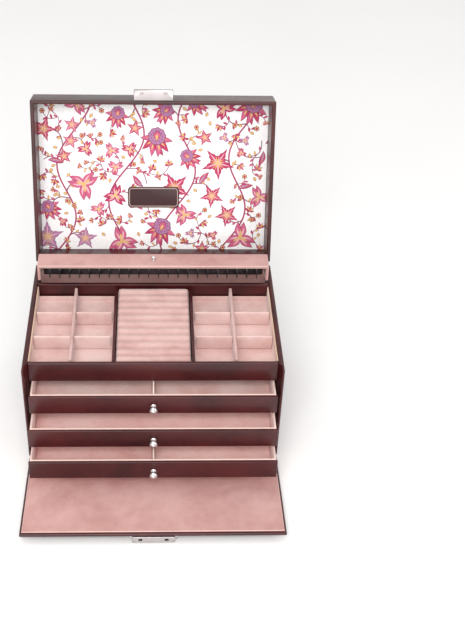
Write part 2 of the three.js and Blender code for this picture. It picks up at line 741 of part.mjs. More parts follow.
// The hasp stands on the lid's front, with two catches that drop into the lock.
function hasp() {
  const z0 = LID_BOTTOM;
  const back = LID_DEPTH + GAP;
  const profile = outline([
    [back, z0],
    [LOCK_FACE, z0],
    [LOCK_FACE, z0 + HASP_HEIGHT - HASP_BEVEL_DROP],
    [LOCK_FACE - HASP_BEVEL, z0 + HASP_HEIGHT],
    [back, z0 + HASP_HEIGHT],
  ]);
  const catches = [-1, 1].map((sign) =>
    block(
      [sign * CATCH_X - CATCH_WIDTH / 2, sign * CATCH_X + CATCH_WIDTH / 2],
      [CATCH_D - CATCH_THICK / 2, CATCH_D + CATCH_THICK / 2],
      [z0 - CATCH_LENGTH, z0 + 1],
    ),
  );
  return joined(acrossWidth(profile, -LOCK_WIDTH / 2, LOCK_WIDTH / 2), ...catches);
}

function handlePost(sign) {
  const foot = PAD_TOP + GAP;
  const x = sign * POST_X;
  const inward = [x, x - sign * (POST_R + LINK_THICK + 2 * GAP + 0.6)].sort((a, b) => a - b);
  return joined(
    rod("z", FLANGE_R, foot, foot + FLANGE_THICK, [x, POST_D], 18),
    rod("z", POST_R, foot + FLANGE_THICK / 2, SWIVEL.z + POST_R, [x, POST_D]),
    rod("x", SWIVEL_R, ...inward, [SWIVEL.d, SWIVEL.z], 10),
  );
}

function lidPieces() {
  const liningSpan = [-HALF + LID_WALL + GAP, HALF - LID_WALL - GAP];
  const liningDepths = [LID_WALL + GAP, LID_DEPTH - LID_WALL - GAP];
  return [
    piece("lid_shell", lidShell(), leather),
    piece("lid_pad", lidPad(), leather),
    piece(
      "lid_lining",
      block(liningSpan, liningDepths, [LINING_BOTTOM, LINING_BOTTOM + LINING_THICK]),
      printed,
    ),
    piece("lid_plaque", plaque(), leather),
    piece("hasp", hasp(), nickel),
    piece("lid_hinge_lid_leaf", lidHingeLeaf(1, 1), steel),
    ...SIDES.map(([side, sign]) => piece(`handle_post_${side}`, handlePost(sign), chrome)),
  ];
}

// ---- Handle, standing upright ----

const LINK_X = POST_X - POST_R - GAP - LINK_THICK / 2;
const STRAP_BAR_Z = SWIVEL.z + LINK_RISE;

// A stirrup that swivels on the post's pin and holds the strap's end on its upper bar.
function handleLink(sign) {
  const x = sign * LINK_X;
  const xs = [x - LINK_THICK / 2, x + LINK_THICK / 2];
  const inside = STRAP_END_WIDTH / 2 + GAP;
  const outside = inside + LINK_ARM;
  const arms = [-1, 1].map((way) =>
    block(
      xs,
      [way * inside, way * outside].sort((a, b) => a - b).map((off) => SWIVEL.d + off),
      [SWIVEL.z - 1, STRAP_BAR_Z + LINK_BAR_R],
    ),
  );
  const frame = joined(
    ...arms,
    block(xs, [SWIVEL.d - outside, SWIVEL.d + outside], [SWIVEL.z - 1, SWIVEL.z + 1]),
    rod("x", SWIVEL_R + GAP + 1, ...xs, [SWIVEL.d, SWIVEL.z]),
    rod("d", LINK_BAR_R, SWIVEL.d - inside - 0.5, SWIVEL.d + inside + 0.5, [x, STRAP_BAR_Z], 10),
  );
  return cut(frame, rod("x", SWIVEL_R + GAP + 0.1, xs[0] - 1, xs[1] + 1, [SWIVEL.d, SWIVEL.z]));
}

// One face of the strap's arch, offset from its middle line, from one end to the other.
function archPoints(offset, steps) {
  return Array.from({ length: steps + 1 }, (_, step) => {
    const angle = Math.PI * (1 - step / steps);
    const lift = Math.sin(angle) ** ARCH_FULLNESS;
    const out = LINK_X + offset * Math.abs(Math.cos(angle));
    return [out * Math.cos(angle), STRAP_BAR_Z + (STRAP_RISE + offset) * lift];
  });
}

function handleStrap() {
  const steps = 16;
  const half = STRAP_THICK / 2;
  const arch = outline([...archPoints(half, steps), ...archPoints(-half, steps).reverse()]);
  const wide = (width) => [SWIVEL.d - width / 2, SWIVEL.d + width / 2];
  const shoulder = STRAP_BAR_Z + LOOP_R + 1;
  const aboveLoops = [shoulder, shoulder + STRAP_RISE + STRAP_THICK];
  const narrow = toSolid(acrossDepth(arch, ...wide(STRAP_END_WIDTH)));
  const broad = toSolid(acrossDepth(arch, ...wide(STRAP_WIDTH)));
  const cutOff = toSolid(block([-HALF, HALF], wide(STRAP_WIDTH + 2), aboveLoops));
  const ends = SIDES.map(([, sign]) => [sign * LINK_X, STRAP_BAR_Z]);
  let strap = narrow.add(broad.intersect(cutOff));
  for (const at of ends) strap = strap.add(toSolid(rod("d", LOOP_R, ...wide(STRAP_END_WIDTH), at, 12)));
  for (const at of ends)
    strap = strap.subtract(toSolid(rod("d", LINK_BAR_R + LOOP_PLAY, ...wide(STRAP_WIDTH + 2), at, 12)));
  return toGeometry(strap);
}

function handlePieces() {
  return [
    piece("handle_strap", handleStrap(), leather),
    ...SIDES.map(([side, sign]) => piece(`handle_link_${side}`, handleLink(sign), chrome)),
  ];
}

// ---- Flap, as it stands closed ----

const PLUG_Z = LOCK_BOTTOM + PLUG_RISE;
const BUTTON_Z = LOCK_BOTTOM + BUTTON_RISE;

function lockCase() {
  const half = LOCK_WIDTH / 2;
  const body = block([-half, half], [LOCK_BACK, LOCK_FACE], [LOCK_BOTTOM, LOCK_TOP]);
  const slots = [-1, 1].map((sign) =>
    block(
      [sign * CATCH_X - CATCH_WIDTH / 2 - CATCH_PLAY, sign * CATCH_X + CATCH_WIDTH / 2 + CATCH_PLAY],
      [CATCH_D - CATCH_THICK / 2 - CATCH_PLAY, CATCH_D + CATCH_THICK / 2 + CATCH_PLAY],
      [LOCK_TOP - CATCH_LENGTH - 1, LOCK_TOP + 1],
    ),
  );
  const middle = (LOCK_BACK + LOCK_FACE) / 2;
  const pockets = [-1, 1].map((sign) =>
    sideBlock(
      sign,
      [half - (BUTTON_LENGTH - BUTTON_OUT) - BUTTON_TRAVEL - GAP, half + 1],
      [middle - BUTTON_DEPTH / 2 - GAP, middle + BUTTON_DEPTH / 2 + GAP],
      [BUTTON_Z - BUTTON_HEIGHT / 2 - GAP, BUTTON_Z + BUTTON_HEIGHT / 2 + GAP],
    ),
  );
  const plugRear = LOCK_FACE - PLUG_THICK - GAP;
  const plugHole = rod("d", PLUG_R + PLUG_GAP, plugRear, LOCK_FACE + 1, [0, PLUG_Z], PLUG_SIDES);
  return cut(body, ...slots, ...pockets, plugHole);
}

function lockPlug() {
  const face = LOCK_FACE + PLUG_PROUD;
  const disc = rod("d", PLUG_R, LOCK_FACE - PLUG_THICK, face, [0, PLUG_Z], PLUG_SIDES);
  const keyway = block(
    [-KEYWAY.wide / 2, KEYWAY.wide / 2],
    [face - KEYWAY.deep, face + 1],
    [PLUG_Z - KEYWAY.high / 2, PLUG_Z + KEYWAY.high / 2],
  );
  return cut(disc, keyway);
}

function lockButton(sign) {
  const middle = (LOCK_BACK + LOCK_FACE) / 2;
  const out = LOCK_WIDTH / 2 + BUTTON_OUT;
  return sideBlock(
    sign,
    [out - BUTTON_LENGTH, out],
    [middle - BUTTON_DEPTH / 2, middle + BUTTON_DEPTH / 2],
    [BUTTON_Z - BUTTON_HEIGHT / 2, BUTTON_Z + BUTTON_HEIGHT / 2],
  );
}

function flapPieces() {
  const half = FLAP_WIDTH / 2;
  const foot = FLAP_AXIS.z + KNUCKLE_R + 2 * GAP + LEAF;
  const panelDepths = [FLAP_FACE - FLAP_PANEL, FLAP_FACE];
  const liningSpan = [-half + FLAP_EDGE, half - FLAP_EDGE];
  const liningDepths = [CASE_DEPTH + GAP, CASE_DEPTH + GAP + FLAP_LINING];
  return [
    piece("flap_panel", block([-half, half], panelDepths, [foot, FLAP_TIP]), leather),
    piece("flap_lining", block(liningSpan, liningDepths, [foot, FLAP_TIP - FLAP_EDGE]), suede),
    piece("flap_hinge_flap_leaf", flapHingeFlapLeaf(), steel),
    piece("lock_case", lockCase(), nickel),
    piece("lock_plug", lockPlug(), chrome),
    ...SIDES.map(([side, sign]) => piece(`lock_button_${side}`, lockButton(sign), chrome)),
  ];
}

// ---- Assembly ----

// A group whose pieces turn together about the X axis through depth d and height z.
function turnedAbout({ d, z }, angle, pieces) {
  const pivot = new THREE.Group();
  pivot.position.set(0, REAR - d, z);
  pivot.rotation.x = angle;
  const held = new THREE.Group();
  held.position.set(0, d - REAR, -z);
  held.add(...pieces);
  pivot.add(held);
  return pivot;
}

const jewelleryCase = new THREE.Group();
jewelleryCase.add(
  ...caseBoards(),
  ...tray(),
  ...DRAWER_NAMES.flatMap(drawer),
  ...necklaceHolder(),
  piece("lid_hinge_case_leaf", lidHingeLeaf(0, -1), steel),
  piece("lid_hinge_pin", hingePin(LID_AXIS), steel),
  piece("flap_hinge_case_leaf", flapHingeCaseLeaf(), steel),
  piece("flap_hinge_pin", hingePin(FLAP_AXIS), steel),
);

// The handle hangs straight down behind the open lid.
const handle = turnedAbout(SWIVEL, LID_OPEN - Math.PI, handlePieces());
jewelleryCase.add(turnedAbout(LID_AXIS, -LID_OPEN, [...lidPieces(), handle]));
jewelleryCase.add(turnedAbout(FLAP_AXIS, FLAP_OPEN, flapPieces()));

export default jewelleryCase;
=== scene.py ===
"""A leather jewellery case, open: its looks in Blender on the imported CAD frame. Metres, +Z up."""

import json
import math
import random

import bpy
from mathutils import Matrix, Vector, geometry, noise


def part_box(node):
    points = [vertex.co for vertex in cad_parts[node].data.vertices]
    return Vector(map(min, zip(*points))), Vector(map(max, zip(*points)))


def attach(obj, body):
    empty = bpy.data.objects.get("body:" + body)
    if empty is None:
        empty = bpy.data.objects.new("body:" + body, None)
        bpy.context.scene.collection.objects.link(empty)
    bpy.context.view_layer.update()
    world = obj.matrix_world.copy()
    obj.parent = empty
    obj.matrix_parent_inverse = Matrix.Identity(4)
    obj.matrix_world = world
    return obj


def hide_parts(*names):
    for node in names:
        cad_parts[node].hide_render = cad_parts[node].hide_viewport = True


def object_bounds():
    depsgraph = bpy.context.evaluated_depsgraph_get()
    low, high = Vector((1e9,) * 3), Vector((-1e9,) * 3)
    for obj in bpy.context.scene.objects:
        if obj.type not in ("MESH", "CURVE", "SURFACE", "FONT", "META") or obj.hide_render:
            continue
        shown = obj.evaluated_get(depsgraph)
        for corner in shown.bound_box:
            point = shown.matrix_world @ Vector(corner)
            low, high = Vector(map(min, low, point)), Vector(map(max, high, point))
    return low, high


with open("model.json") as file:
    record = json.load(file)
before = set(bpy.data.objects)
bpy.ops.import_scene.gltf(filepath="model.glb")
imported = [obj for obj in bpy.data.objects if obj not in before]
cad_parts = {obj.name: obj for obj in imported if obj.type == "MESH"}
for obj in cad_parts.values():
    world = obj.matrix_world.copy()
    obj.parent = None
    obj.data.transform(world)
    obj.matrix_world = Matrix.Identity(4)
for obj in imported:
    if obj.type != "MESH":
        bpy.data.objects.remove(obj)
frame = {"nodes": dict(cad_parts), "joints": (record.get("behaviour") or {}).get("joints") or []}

CAD_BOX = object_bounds()
MM = 0.001
NODES = frame["nodes"]
SIDES = ("left", "right")
DRAWERS = ("drawer_top", "drawer_middle", "drawer_bottom")


# ---- Places ----


def joint(name):
    return next(j for j in frame["joints"] if j["name"] == name)


def swung_open(name):
    """The turn from the closed case to rest of what hangs on a hinge."""
    hinge = joint(name)
    at = Matrix.Translation(Vector(hinge["pos_m"]))
    closed = math.radians(min(hinge["range_deg"], key=lambda a: -abs(a)))
    return at @ Matrix.Rotation(-closed, 4, Vector(hinge["axis"])) @ at.inverted()


LID = swung_open("lid_hinge")
FLAP = swung_open("flap_hinge")
STILL = Matrix.Identity(4)


def box_in(node, place=STILL):
    """A node's corners measured before the turn that brings it to rest."""
    back = place.inverted()
    points = [back @ v.co for v in NODES[node].data.vertices]
    low = Vector(min(p[axis] for p in points) for axis in range(3))
    high = Vector(max(p[axis] for p in points) for axis in range(3))
    return low, high


# ---- Materials ----


def srgb(red, green, blue):
    """A colour given as 0 to 255 screen values, as linear RGBA."""
    def linear(value):
        share = value / 255
        return share / 12.92 if share <= 0.04045 else ((share + 0.055) / 1.055) ** 2.4

    return (linear(red), linear(green), linear(blue), 1.0)


class Shader:
    """One material's node tree, with a short call for each kind of node used here."""

    def __init__(self, name, **values):
        self.material = bpy.data.materials.new(name)
        self.material.use_nodes = True
        self.tree = self.material.node_tree
        self.surface = self.tree.nodes["Principled BSDF"]
        for socket, value in values.items():
            self.surface.inputs[socket.replace("_", " ")].default_value = value
        self.place = self.tree.nodes.new("ShaderNodeTexCoord").outputs["Object"]

    def link(self, source, socket):
        if isinstance(source, bpy.types.NodeSocket):
            self.tree.links.new(source, socket)
        else:
            socket.default_value = source

    def stretched(self, scale):
        node = self.tree.nodes.new("ShaderNodeMapping")
        node.inputs["Scale"].default_value = scale
        self.link(self.place, node.inputs["Vector"])
        return node.outputs["Vector"]

    def noise(self, scale, detail=2.0, distortion=0.0, along=None):
        node = self.tree.nodes.new("ShaderNodeTexNoise")
        self.link(along or self.place, node.inputs["Vector"])
        node.inputs["Scale"].default_value = scale
        node.inputs["Detail"].default_value = detail
        node.inputs["Distortion"].default_value = distortion
        return node.outputs["Fac"]

    def cells(self, scale, feature="F1"):
        node = self.tree.nodes.new("ShaderNodeTexVoronoi")
        node.feature = feature
        self.link(self.place, node.inputs["Vector"])
        node.inputs["Scale"].default_value = scale
        return node.outputs["Distance"]

    def bands(self, scale, axis):
        node = self.tree.nodes.new("ShaderNodeTexWave")
        node.bands_direction = axis
        self.link(self.place, node.inputs["Vector"])
        node.inputs["Scale"].default_value = scale
        return node.outputs["Fac"]

    def sum(self, first, second, share=1.0):
        node = self.tree.nodes.new("ShaderNodeMath")
        node.operation = "MULTIPLY_ADD"
        self.link(second, node.inputs[0])
        node.inputs[1].default_value = share
        self.link(first, node.inputs[2])
        return node.outputs["Value"]

    def ramp(self, factor, *stops):
        node = self.tree.nodes.new("ShaderNodeValToRGB")
        for index, (at, colour) in enumerate(stops):
            if index > 1:
                node.color_ramp.elements.new(at)
            element = node.color_ramp.elements[index]
            element.position = at
            element.color = colour if isinstance(colour, tuple) else (colour,) * 3 + (1,)
        self.link(factor, node.inputs["Fac"])
        return node.outputs["Color"]

    def blend(self, factor, first, second, how="MIX"):
        node = self.tree.nodes.new("ShaderNodeMix")
        node.data_type = "RGBA"
        node.blend_type = how
        self.link(factor, node.inputs["Factor"])
        self.link(first, node.inputs[6])
        self.link(second, node.inputs[7])
        return node.outputs[2]

    def range(self, factor, low, high):
        node = self.tree.nodes.new("ShaderNodeMapRange")
        node.inputs["To Min"].default_value = low
        node.inputs["To Max"].default_value = high
        self.link(factor, node.inputs["Value"])
        return node.outputs["Result"]

    def bump(self, height, strength, depth, over=None):
        node = self.tree.nodes.new("ShaderNodeBump")
        node.inputs["Strength"].default_value = strength
        node.inputs["Distance"].default_value = depth
        self.link(height, node.inputs["Height"])
        if over is not None:
            self.link(over, node.inputs["Normal"])
        return node.outputs["Normal"]

    def done(self, colour, roughness, normal):
        self.link(colour, self.surface.inputs["Base Color"])
        self.link(roughness, self.surface.inputs["Roughness"])
        self.link(normal, self.surface.inputs["Normal"])
        return self.material


def leather(name, light, dark, grain=760.0):
    """Smooth dyed hide: fine pebbled grain, cloudy dye, a soft waxed gloss."""
    s = Shader(name, Coat_Weight=0.22, Coat_Roughness=0.2, Specular_IOR_Level=0.4)
    cloud = s.noise(16, 4, 0.6)
    dye = s.ramp(s.sum(cloud, s.noise(210, 3), 0.25), (0.38, dark), (0.78, light))
    crease = s.ramp(s.cells(grain, "DISTANCE_TO_EDGE"), (0.0, 0.55), (0.12, 1.0))
    colour = s.blend(0.5, dye, crease, "MULTIPLY")
    pebble = s.bump(s.cells(grain), 0.16, 0.12 * MM)
    normal = s.bump(s.noise(95, 5), 0.10, 0.9 * MM, over=pebble)
    return s.done(colour, s.range(s.noise(60, 4), 0.26, 0.46), normal)


def suede(name, light, dark, patch=11.0):
    """Brushed nap: cloudy patches where the pile lies over, and a fibrous surface."""
    s = Shader(name, Sheen_Weight=0.35, Sheen_Roughness=0.45, Specular_IOR_Level=0.15)
    cloud = s.sum(s.noise(patch, 3, 0.3), s.noise(patch * 5, 3, 0.3), 0.3)
    nap = s.ramp(cloud, (0.40, dark), (0.78, light))
    speck = s.ramp(s.noise(1500, 2), (0.3, 0.80), (0.7, 1.0))
    colour = s.blend(0.6, nap, speck, "MULTIPLY")
    fibre = s.noise(1100, 3, 0.4, along=s.stretched((1.0, 0.45, 0.8)))
    normal = s.bump(s.sum(fibre, s.noise(70, 3), 0.9), 0.35, 0.35 * MM)
    return s.done(colour, 0.95, normal)


def printed_cloth(name, colour):
    """Fine plain-weave cotton in one printed colour."""
    s = Shader(name, Sheen_Weight=0.12, Specular_IOR_Level=0.25)
    shade = tuple(c * 0.92 for c in colour[:3]) + (1.0,)
    body = s.ramp(s.noise(420, 4, 0.5), (0.35, shade), (0.62, colour))
    threads = s.sum(s.bands(700, "X"), s.bands(700, "Z"), 1.0)
    cloth = s.blend(0.3, body, s.ramp(threads, (0.1, 0.86), (1.0, 1.0)), "MULTIPLY")
    return s.done(cloth, 0.85, s.bump(threads, 0.22, 0.12 * MM))


def metal(name, colour, rough, brushed):
    """Plated metal, with fine lines along its width where it is brushed."""
    s = Shader(name, Metallic=1.0)
    lines = s.noise(900, 3, 0.1, along=s.stretched((0.03, 1.0, 1.0) if brushed else (1.0, 1.0, 1.0)))
    haze = s.noise(45, 3)
    tone = s.ramp(haze, (0.3, tuple(c * 0.86 for c in colour[:3]) + (1.0,)), (0.7, colour))
    normal = s.bump(lines, 0.14 if brushed else 0.03, 0.05 * MM)
    return s.done(tone, s.range(s.sum(lines, haze, 0.4), rough * 0.7, rough * 1.25), normal)


def painted(name, colour, rough):
    """Satin lacquer with a faint orange-peel."""
    s = Shader(name, Coat_Weight=0.3, Coat_Roughness=0.25)
    edge = tuple(min(1.0, c * 1.7 + 0.01) for c in colour[:3]) + (1.0,)
    tone = s.ramp(s.noise(120, 4), (0.4, colour), (0.8, edge))
    roughness = s.range(s.noise(300, 2), rough * 0.8, rough * 1.2)
    return s.done(tone, roughness, s.bump(s.noise(420, 2), 0.08, 0.1 * MM))


def thread(name, light, dark):
    """Twisted sewing thread."""
    s = Shader(name, Sheen_Weight=0.3, Specular_IOR_Level=0.35)
    strands = s.noise(2600, 2, 0.3, along=s.stretched((1.0, 0.6, 1.4)))
    return s.done(s.ramp(strands, (0.3, dark), (0.65, light)), 0.6, s.bump(strands, 0.5, 0.15 * MM))


def covered_board(name, light, dark):
    """Grey board covered with a brown book cloth, for what lies inside."""
    s = Shader(name, Specular_IOR_Level=0.2)
    weave = s.sum(s.bands(420, "X"), s.bands(420, "Y"), 1.0)
    tone = s.ramp(s.sum(weave, s.noise(60, 4), 0.6), (0.3, dark), (1.4, light))
    return s.done(tone, 0.85, s.bump(weave, 0.3, 0.15 * MM))


LEATHER = leather("leather_bordeaux_hide", srgb(75, 23, 25), srgb(45, 11, 15))
EDGE_LEATHER = leather("leather_edge_hide", srgb(66, 20, 25), srgb(40, 11, 17), 900.0)
ROSE = suede("suede_rose_nap", srgb(202, 159, 154), srgb(180, 132, 127), 22.0)
ROSE_DEEP = suede("suede_rose_deep_nap", srgb(230, 202, 197), srgb(212, 174, 168), 26.0)
ROLL_SUEDE = suede("suede_rolls_nap", srgb(208, 175, 170), srgb(190, 150, 145), 30.0)
# Drawer suede: the rose suede painted paler, painted light that stands in for the light the rail and
# drawer walls keep out of the drawers.
DRAWER_SUEDE_PAINTED_LIGHT = suede("suede_drawer_painted_light_nap", srgb(252, 218, 212), srgb(236, 184, 178), 20.0)
PALE = suede("suede_pale_nap", srgb(244, 222, 212), srgb(224, 186, 176), 18.0)
BEIGE = suede("suede_beige_nap", srgb(226, 194, 170), srgb(196, 158, 136), 18.0)
PIPING = thread("piping_pale_cord", srgb(234, 206, 196), srgb(206, 170, 160))
THREAD = thread("stitch_thread", srgb(240, 206, 204), srgb(196, 146, 146))
NICKEL = metal("nickel_satin_brushed", srgb(196, 188, 188), 0.34, True)
CHROME = metal("chrome_polished", srgb(222, 220, 220), 0.13, False)
STEEL = metal("steel_plain", srgb(170, 162, 156), 0.3, True)
BLACK = painted("hook_rail_lacquer", srgb(22, 20, 22), 0.35)
BOARD = covered_board("board_cover", srgb(96, 52, 48), srgb(54, 24, 24))

PRINT_COLOURS = {
    "ground": srgb(253, 252, 252),
    "berry": srgb(190, 62, 104),
    "rose": srgb(206, 100, 136),
    "blush": srgb(236, 184, 190),
    "wine": srgb(128, 52, 76),
    "plum": srgb(138, 76, 104),
    "mauve": srgb(178, 124, 166),
    "tan": srgb(228, 186, 118),
}
PRINT = {name: printed_cloth(f"print_{name}", colour) for name, colour in PRINT_COLOURS.items()}
PRINT_ORDER = list(PRINT)


# ---- Mesh helpers ----


def add_piece(name, points, faces, materials, place=STILL, indices=None, smooth=True):
    """A new mesh object, its points carried to rest by a place."""
    mesh = bpy.data.meshes.new(name)
    mesh.from_pydata([place @ Vector(p) for p in points], [], faces)
    for material in materials if isinstance(materials, (list, tuple)) else [materials]:
        mesh.materials.append(material)
    if indices:
        mesh.polygons.foreach_set("material_index", indices)
    mesh.polygons.foreach_set("use_smooth", [smooth] * len(mesh.polygons))
    mesh.update()
    obj = bpy.data.objects.new(name, mesh)
    bpy.context.scene.collection.objects.link(obj)
    return obj


def settle(obj, body, stands_for=None):
    """Puts a piece on its body, in place of a CAD node if it has one."""
    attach(obj, body)
    if stands_for:
        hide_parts(stands_for)


class Build:
    """Points and faces of one piece, gathered part by part."""

    def __init__(self):
        self.points = []
        self.faces = []
        self.indices = []

    def add(self, points, faces, material=0):
        start = len(self.points)
        self.points += [Vector(p) for p in points]
        self.faces += [tuple(start + i for i in face) for face in faces]
        self.indices += [material] * len(faces)

    def piece(self, name, materials, place=STILL):
        return add_piece(name, self.points, self.faces, materials, place, self.indices)


def bevelled(obj, width, segments=3, angle=32.0):
    """Rounds the edges of a piece, after joining the facets that lie in one plane."""
    weld = obj.modifiers.new("weld", "WELD")
    weld.merge_threshold = 0.01 * MM
    flat = obj.modifiers.new("flat", "DECIMATE")
    flat.decimate_type = "DISSOLVE"
    flat.angle_limit = math.radians(1.0)
    round_off = obj.modifiers.new("round", "BEVEL")
    round_off.width = width
    round_off.segments = segments
    round_off.limit_method = "ANGLE"
    round_off.angle_limit = math.radians(angle)
    round_off.harden_normals = True
    obj.data.polygons.foreach_set("use_smooth", [True] * len(obj.data.polygons))


def dressed(node, material, bevel, segments=3):
    """A CAD node that stays: its edges rounded and a finished material on it."""
    obj = NODES[node]
    bevelled(obj, bevel, segments)
    obj.material_slots[0].material = material


def disc(radius, sides=10):
    """The outline of a circle."""
    turns = [2 * math.pi * k / sides for k in range(sides)]
    return [(radius * math.cos(a), radius * math.sin(a)) for a in turns]


def strips(rings, sides, closed=False):
    """Quads between rings of points that are numbered ring by ring."""
    faces = []
    for i in range(rings if closed else rings - 1):
        near, far = i * sides, ((i + 1) % rings) * sides
        for n in range(sides):
            ahead = (n + 1) % sides
            faces.append((near + n, near + ahead, far + ahead, far + n))
    return faces


def tube(points, radius, sides=10, closed=False, flatten=1.0, up=Vector((0, 0, 1))):
    """Points and faces of a tube along a line; flatten squeezes it towards its path along up."""
    rings = []
    count = len(points)
    for i, point in enumerate(points):
        before = points[i - 1] if i or closed else point
        after = points[(i + 1) % count] if i + 1 < count or closed else point
        ahead = (Vector(after) - Vector(before)).normalized()
        across = ahead.cross(up)
        across = across.normalized() if across.length > 1e-6 else Vector((1, 0, 0))
        rise = across.cross(ahead)
        rise *= flatten
        rings.append([Vector(point) + across * x + rise * y for x, y in disc(radius, sides)])
    vertices = [p for ring in rings for p in ring]
    faces = strips(count, sides, closed)
    if not closed:
        faces.append(tuple(reversed(range(sides))))
        faces.append(tuple(range(len(vertices) - sides, len(vertices))))
    return vertices, faces


def ball(centre, radius, squash=(1, 1, 1), around=12, high=8):
    """Points and faces of a ball, which squash makes an egg or a capsule-like stitch."""
    points = [Vector((0, 0, -1))]
    for row in range(1, high):
        tilt = -math.pi / 2 + math.pi * row / high
        points += [
            Vector((math.cos(tilt) * math.cos(turn), math.cos(tilt) * math.sin(turn), math.sin(tilt)))
            for turn in (2 * math.pi * k / around for k in range(around))
        ]
    points.append(Vector((0, 0, 1)))
    faces = []
    for k in range(around):
        nxt = (k + 1) % around
        faces.append((0, 1 + nxt, 1 + k))
        last = 1 + (high - 2) * around
        faces.append((last + k, last + nxt, len(points) - 1))
        for row in range(high - 2):
            here = 1 + row * around
            faces.append((here + k, here + nxt, here + around + nxt, here + around + k))
    scaled = [Vector(centre) + Vector(c * s * radius for c, s in zip(p, squash)) for p in points]
    return scaled, faces


def turned(profile, segments=40):
    """Points and faces of a turned piece: (radius, along +Z) from axis to axis."""
    points = []
    rows = []
    for radius, along in profile:
        if radius < 1e-7:
            rows.append([len(points)])
            points.append(Vector((0, 0, along)))
            continue
        rows.append(list(range(len(points), len(points) + segments)))
        points += [Vector((x, y, along)) for x, y in disc(radius, segments)]
    faces = []
    for low, high in zip(rows, rows[1:]):
        for k in range(segments):
            nxt = (k + 1) % segments
            if len(low) == 1:
                faces.append((low[0], high[nxt], high[k]))
            elif len(high) == 1:
                faces.append((low[k], low[nxt], high[0]))
            else:
                faces.append((low[k], low[nxt], high[nxt], high[k]))
    return points, faces


def corners_of(low, high):
    """The four corners of a rectangle in plan, anticlockwise."""
    return [(low.x, low.y), (high.x, low.y), (high.x, high.y), (low.x, high.y)]


def rounded_plan(middle, half_x, half_y, corner, z, steps=4):
    """Points at height z round a rectangle, its corner arcs centred half_x and half_y out."""
    path = []
    for cx, cy, start in ((1, 1, 0), (-1, 1, 90), (-1, -1, 180), (1, -1, 270)):
        for k in range(steps + 1):
            angle = math.radians(start + 90 * k / steps)
            x = middle.x + cx * half_x + corner * math.cos(angle)
            y = middle.y + cy * half_y + corner * math.sin(angle)
            path.append(Vector((x, y, z)))
    return path


def rounded_slab(low, high, radius, crown=0.0):
    """A padded panel: rounded plan corners, rolled edges and a crown; up is +Z."""
    size = high - low
    rolled = 5
    rolls = [math.pi / 2 * k / rolled for k in range(rolled + 1)]
    levels = [(radius * (1 - math.sin(a)), radius * (1 - math.cos(a))) for a in rolls]
    middle = (low + high) / 2
    rings = []

    def ring(inset, z):
        corner = max(radius * 1.4 - inset, 0.15 * MM)
        half_x, half_y = size.x / 2 - inset - corner, size.y / 2 - inset - corner
        rings.append(rounded_plan(middle, half_x, half_y, corner, z))

    ring(0.0, low.z)
    for drop, inset in levels:
        ring(inset, high.z - drop)
    for k in range(1, 7):
        share = k / 7
        inset = radius + share * min(size.x, size.y) * 0.46
        ring(inset, high.z + crown * math.sin(share * math.pi / 2))
    count = len(rings[0])
    points = [point for one in rings for point in one]
    faces = strips(len(rings), count)
    faces.append(tuple(reversed(range(count))))
    faces.append(tuple(range(len(points) - count, len(points))))
    return points, faces


def stitched(name, lines, body, place=STILL, pitch=3.1 * MM, length=2.2 * MM, size=0.42 * MM):
    """One piece of raised stitches along straight or bent lines of (point, normal) pairs."""
    build = Build()
    for line in lines:
        for (start, up), (end, _) in zip(line, line[1:]):
            run = Vector(end) - Vector(start)
            ahead = run.normalized()
            side = Vector(up).cross(ahead).normalized()
            turn = Matrix((ahead, side, side.cross(-ahead))).transposed()
            count = max(1, round(run.length / pitch))
            for k in range(count):
                at = Vector(start) + run * ((k + 0.5) / count)
                points, faces = ball((0, 0, 0), 1.0, (length / 2, size, size * 0.8), 8, 6)
                build.add([at + turn @ p for p in points], faces)
    obj = build.piece(name, THREAD, place)
    settle(obj, body)
    return obj


# ---- Camera, floor and light ----

CAMERA_AT = Vector((0.0, -0.9343, 0.8666))
CAMERA_PITCH = 38.3
CAMERA_YAW = 2.05
CAMERA_SHIFT = 0.064
CAMERA_LENS = 63.75


def add_camera():
    data = bpy.data.cameras.new("camera")
    data.lens = CAMERA_LENS
    data.shift_x = CAMERA_SHIFT
    obj = bpy.data.objects.new("camera", data)
    obj.location = CAMERA_AT
    pitch = Matrix.Rotation(math.radians(90 - CAMERA_PITCH), 3, "X")
    yaw = Matrix.Rotation(math.radians(-CAMERA_YAW), 3, "Y")
    obj.rotation_euler = (pitch @ yaw).to_euler()
    bpy.context.scene.collection.objects.link(obj)
    bpy.context.scene.camera = obj


def add_area_light(name, at, target, size, power, colour=(1, 1, 1)):
    data = bpy.data.lights.new(name, "AREA")
    data.shape = "RECTANGLE"
    data.size, data.size_y = size
    data.energy = power
    data.color = colour
    obj = bpy.data.objects.new(name, data)
    obj.location = at
    obj.rotation_euler = (Vector(target) - Vector(at)).to_track_quat("-Z", "Y").to_euler()
    bpy.context.scene.collection.objects.link(obj)


def add_studio():
    world = bpy.data.worlds.new("studio")
    world.use_nodes = True
    background = world.node_tree.nodes["Background"]
    background.inputs["Color"].default_value = (1.0, 0.99, 0.985, 1)
    background.inputs["Strength"].default_value = 0.85
    bpy.context.scene.world = world
    bpy.context.scene.view_settings.view_transform = "Standard"
    middle = (0, 0, 0.1)
    add_area_light("top_softbox", (-0.4, 0.1, 1.7), middle, (1.2, 1.0), 4)
    add_area_light("front_softbox", (-0.15, -1.35, 1.4), middle, (1.0, 0.7), 18, (1, 0.99, 0.975))
    add_area_light("low_softbox", (-0.5, -1.8, 0.6), middle, (1.4, 0.6), 5)
    add_area_light("fill_softbox", (1.3, -0.8, 1.1), middle, (0.9, 1.2), 4, (0.98, 0.985, 1))


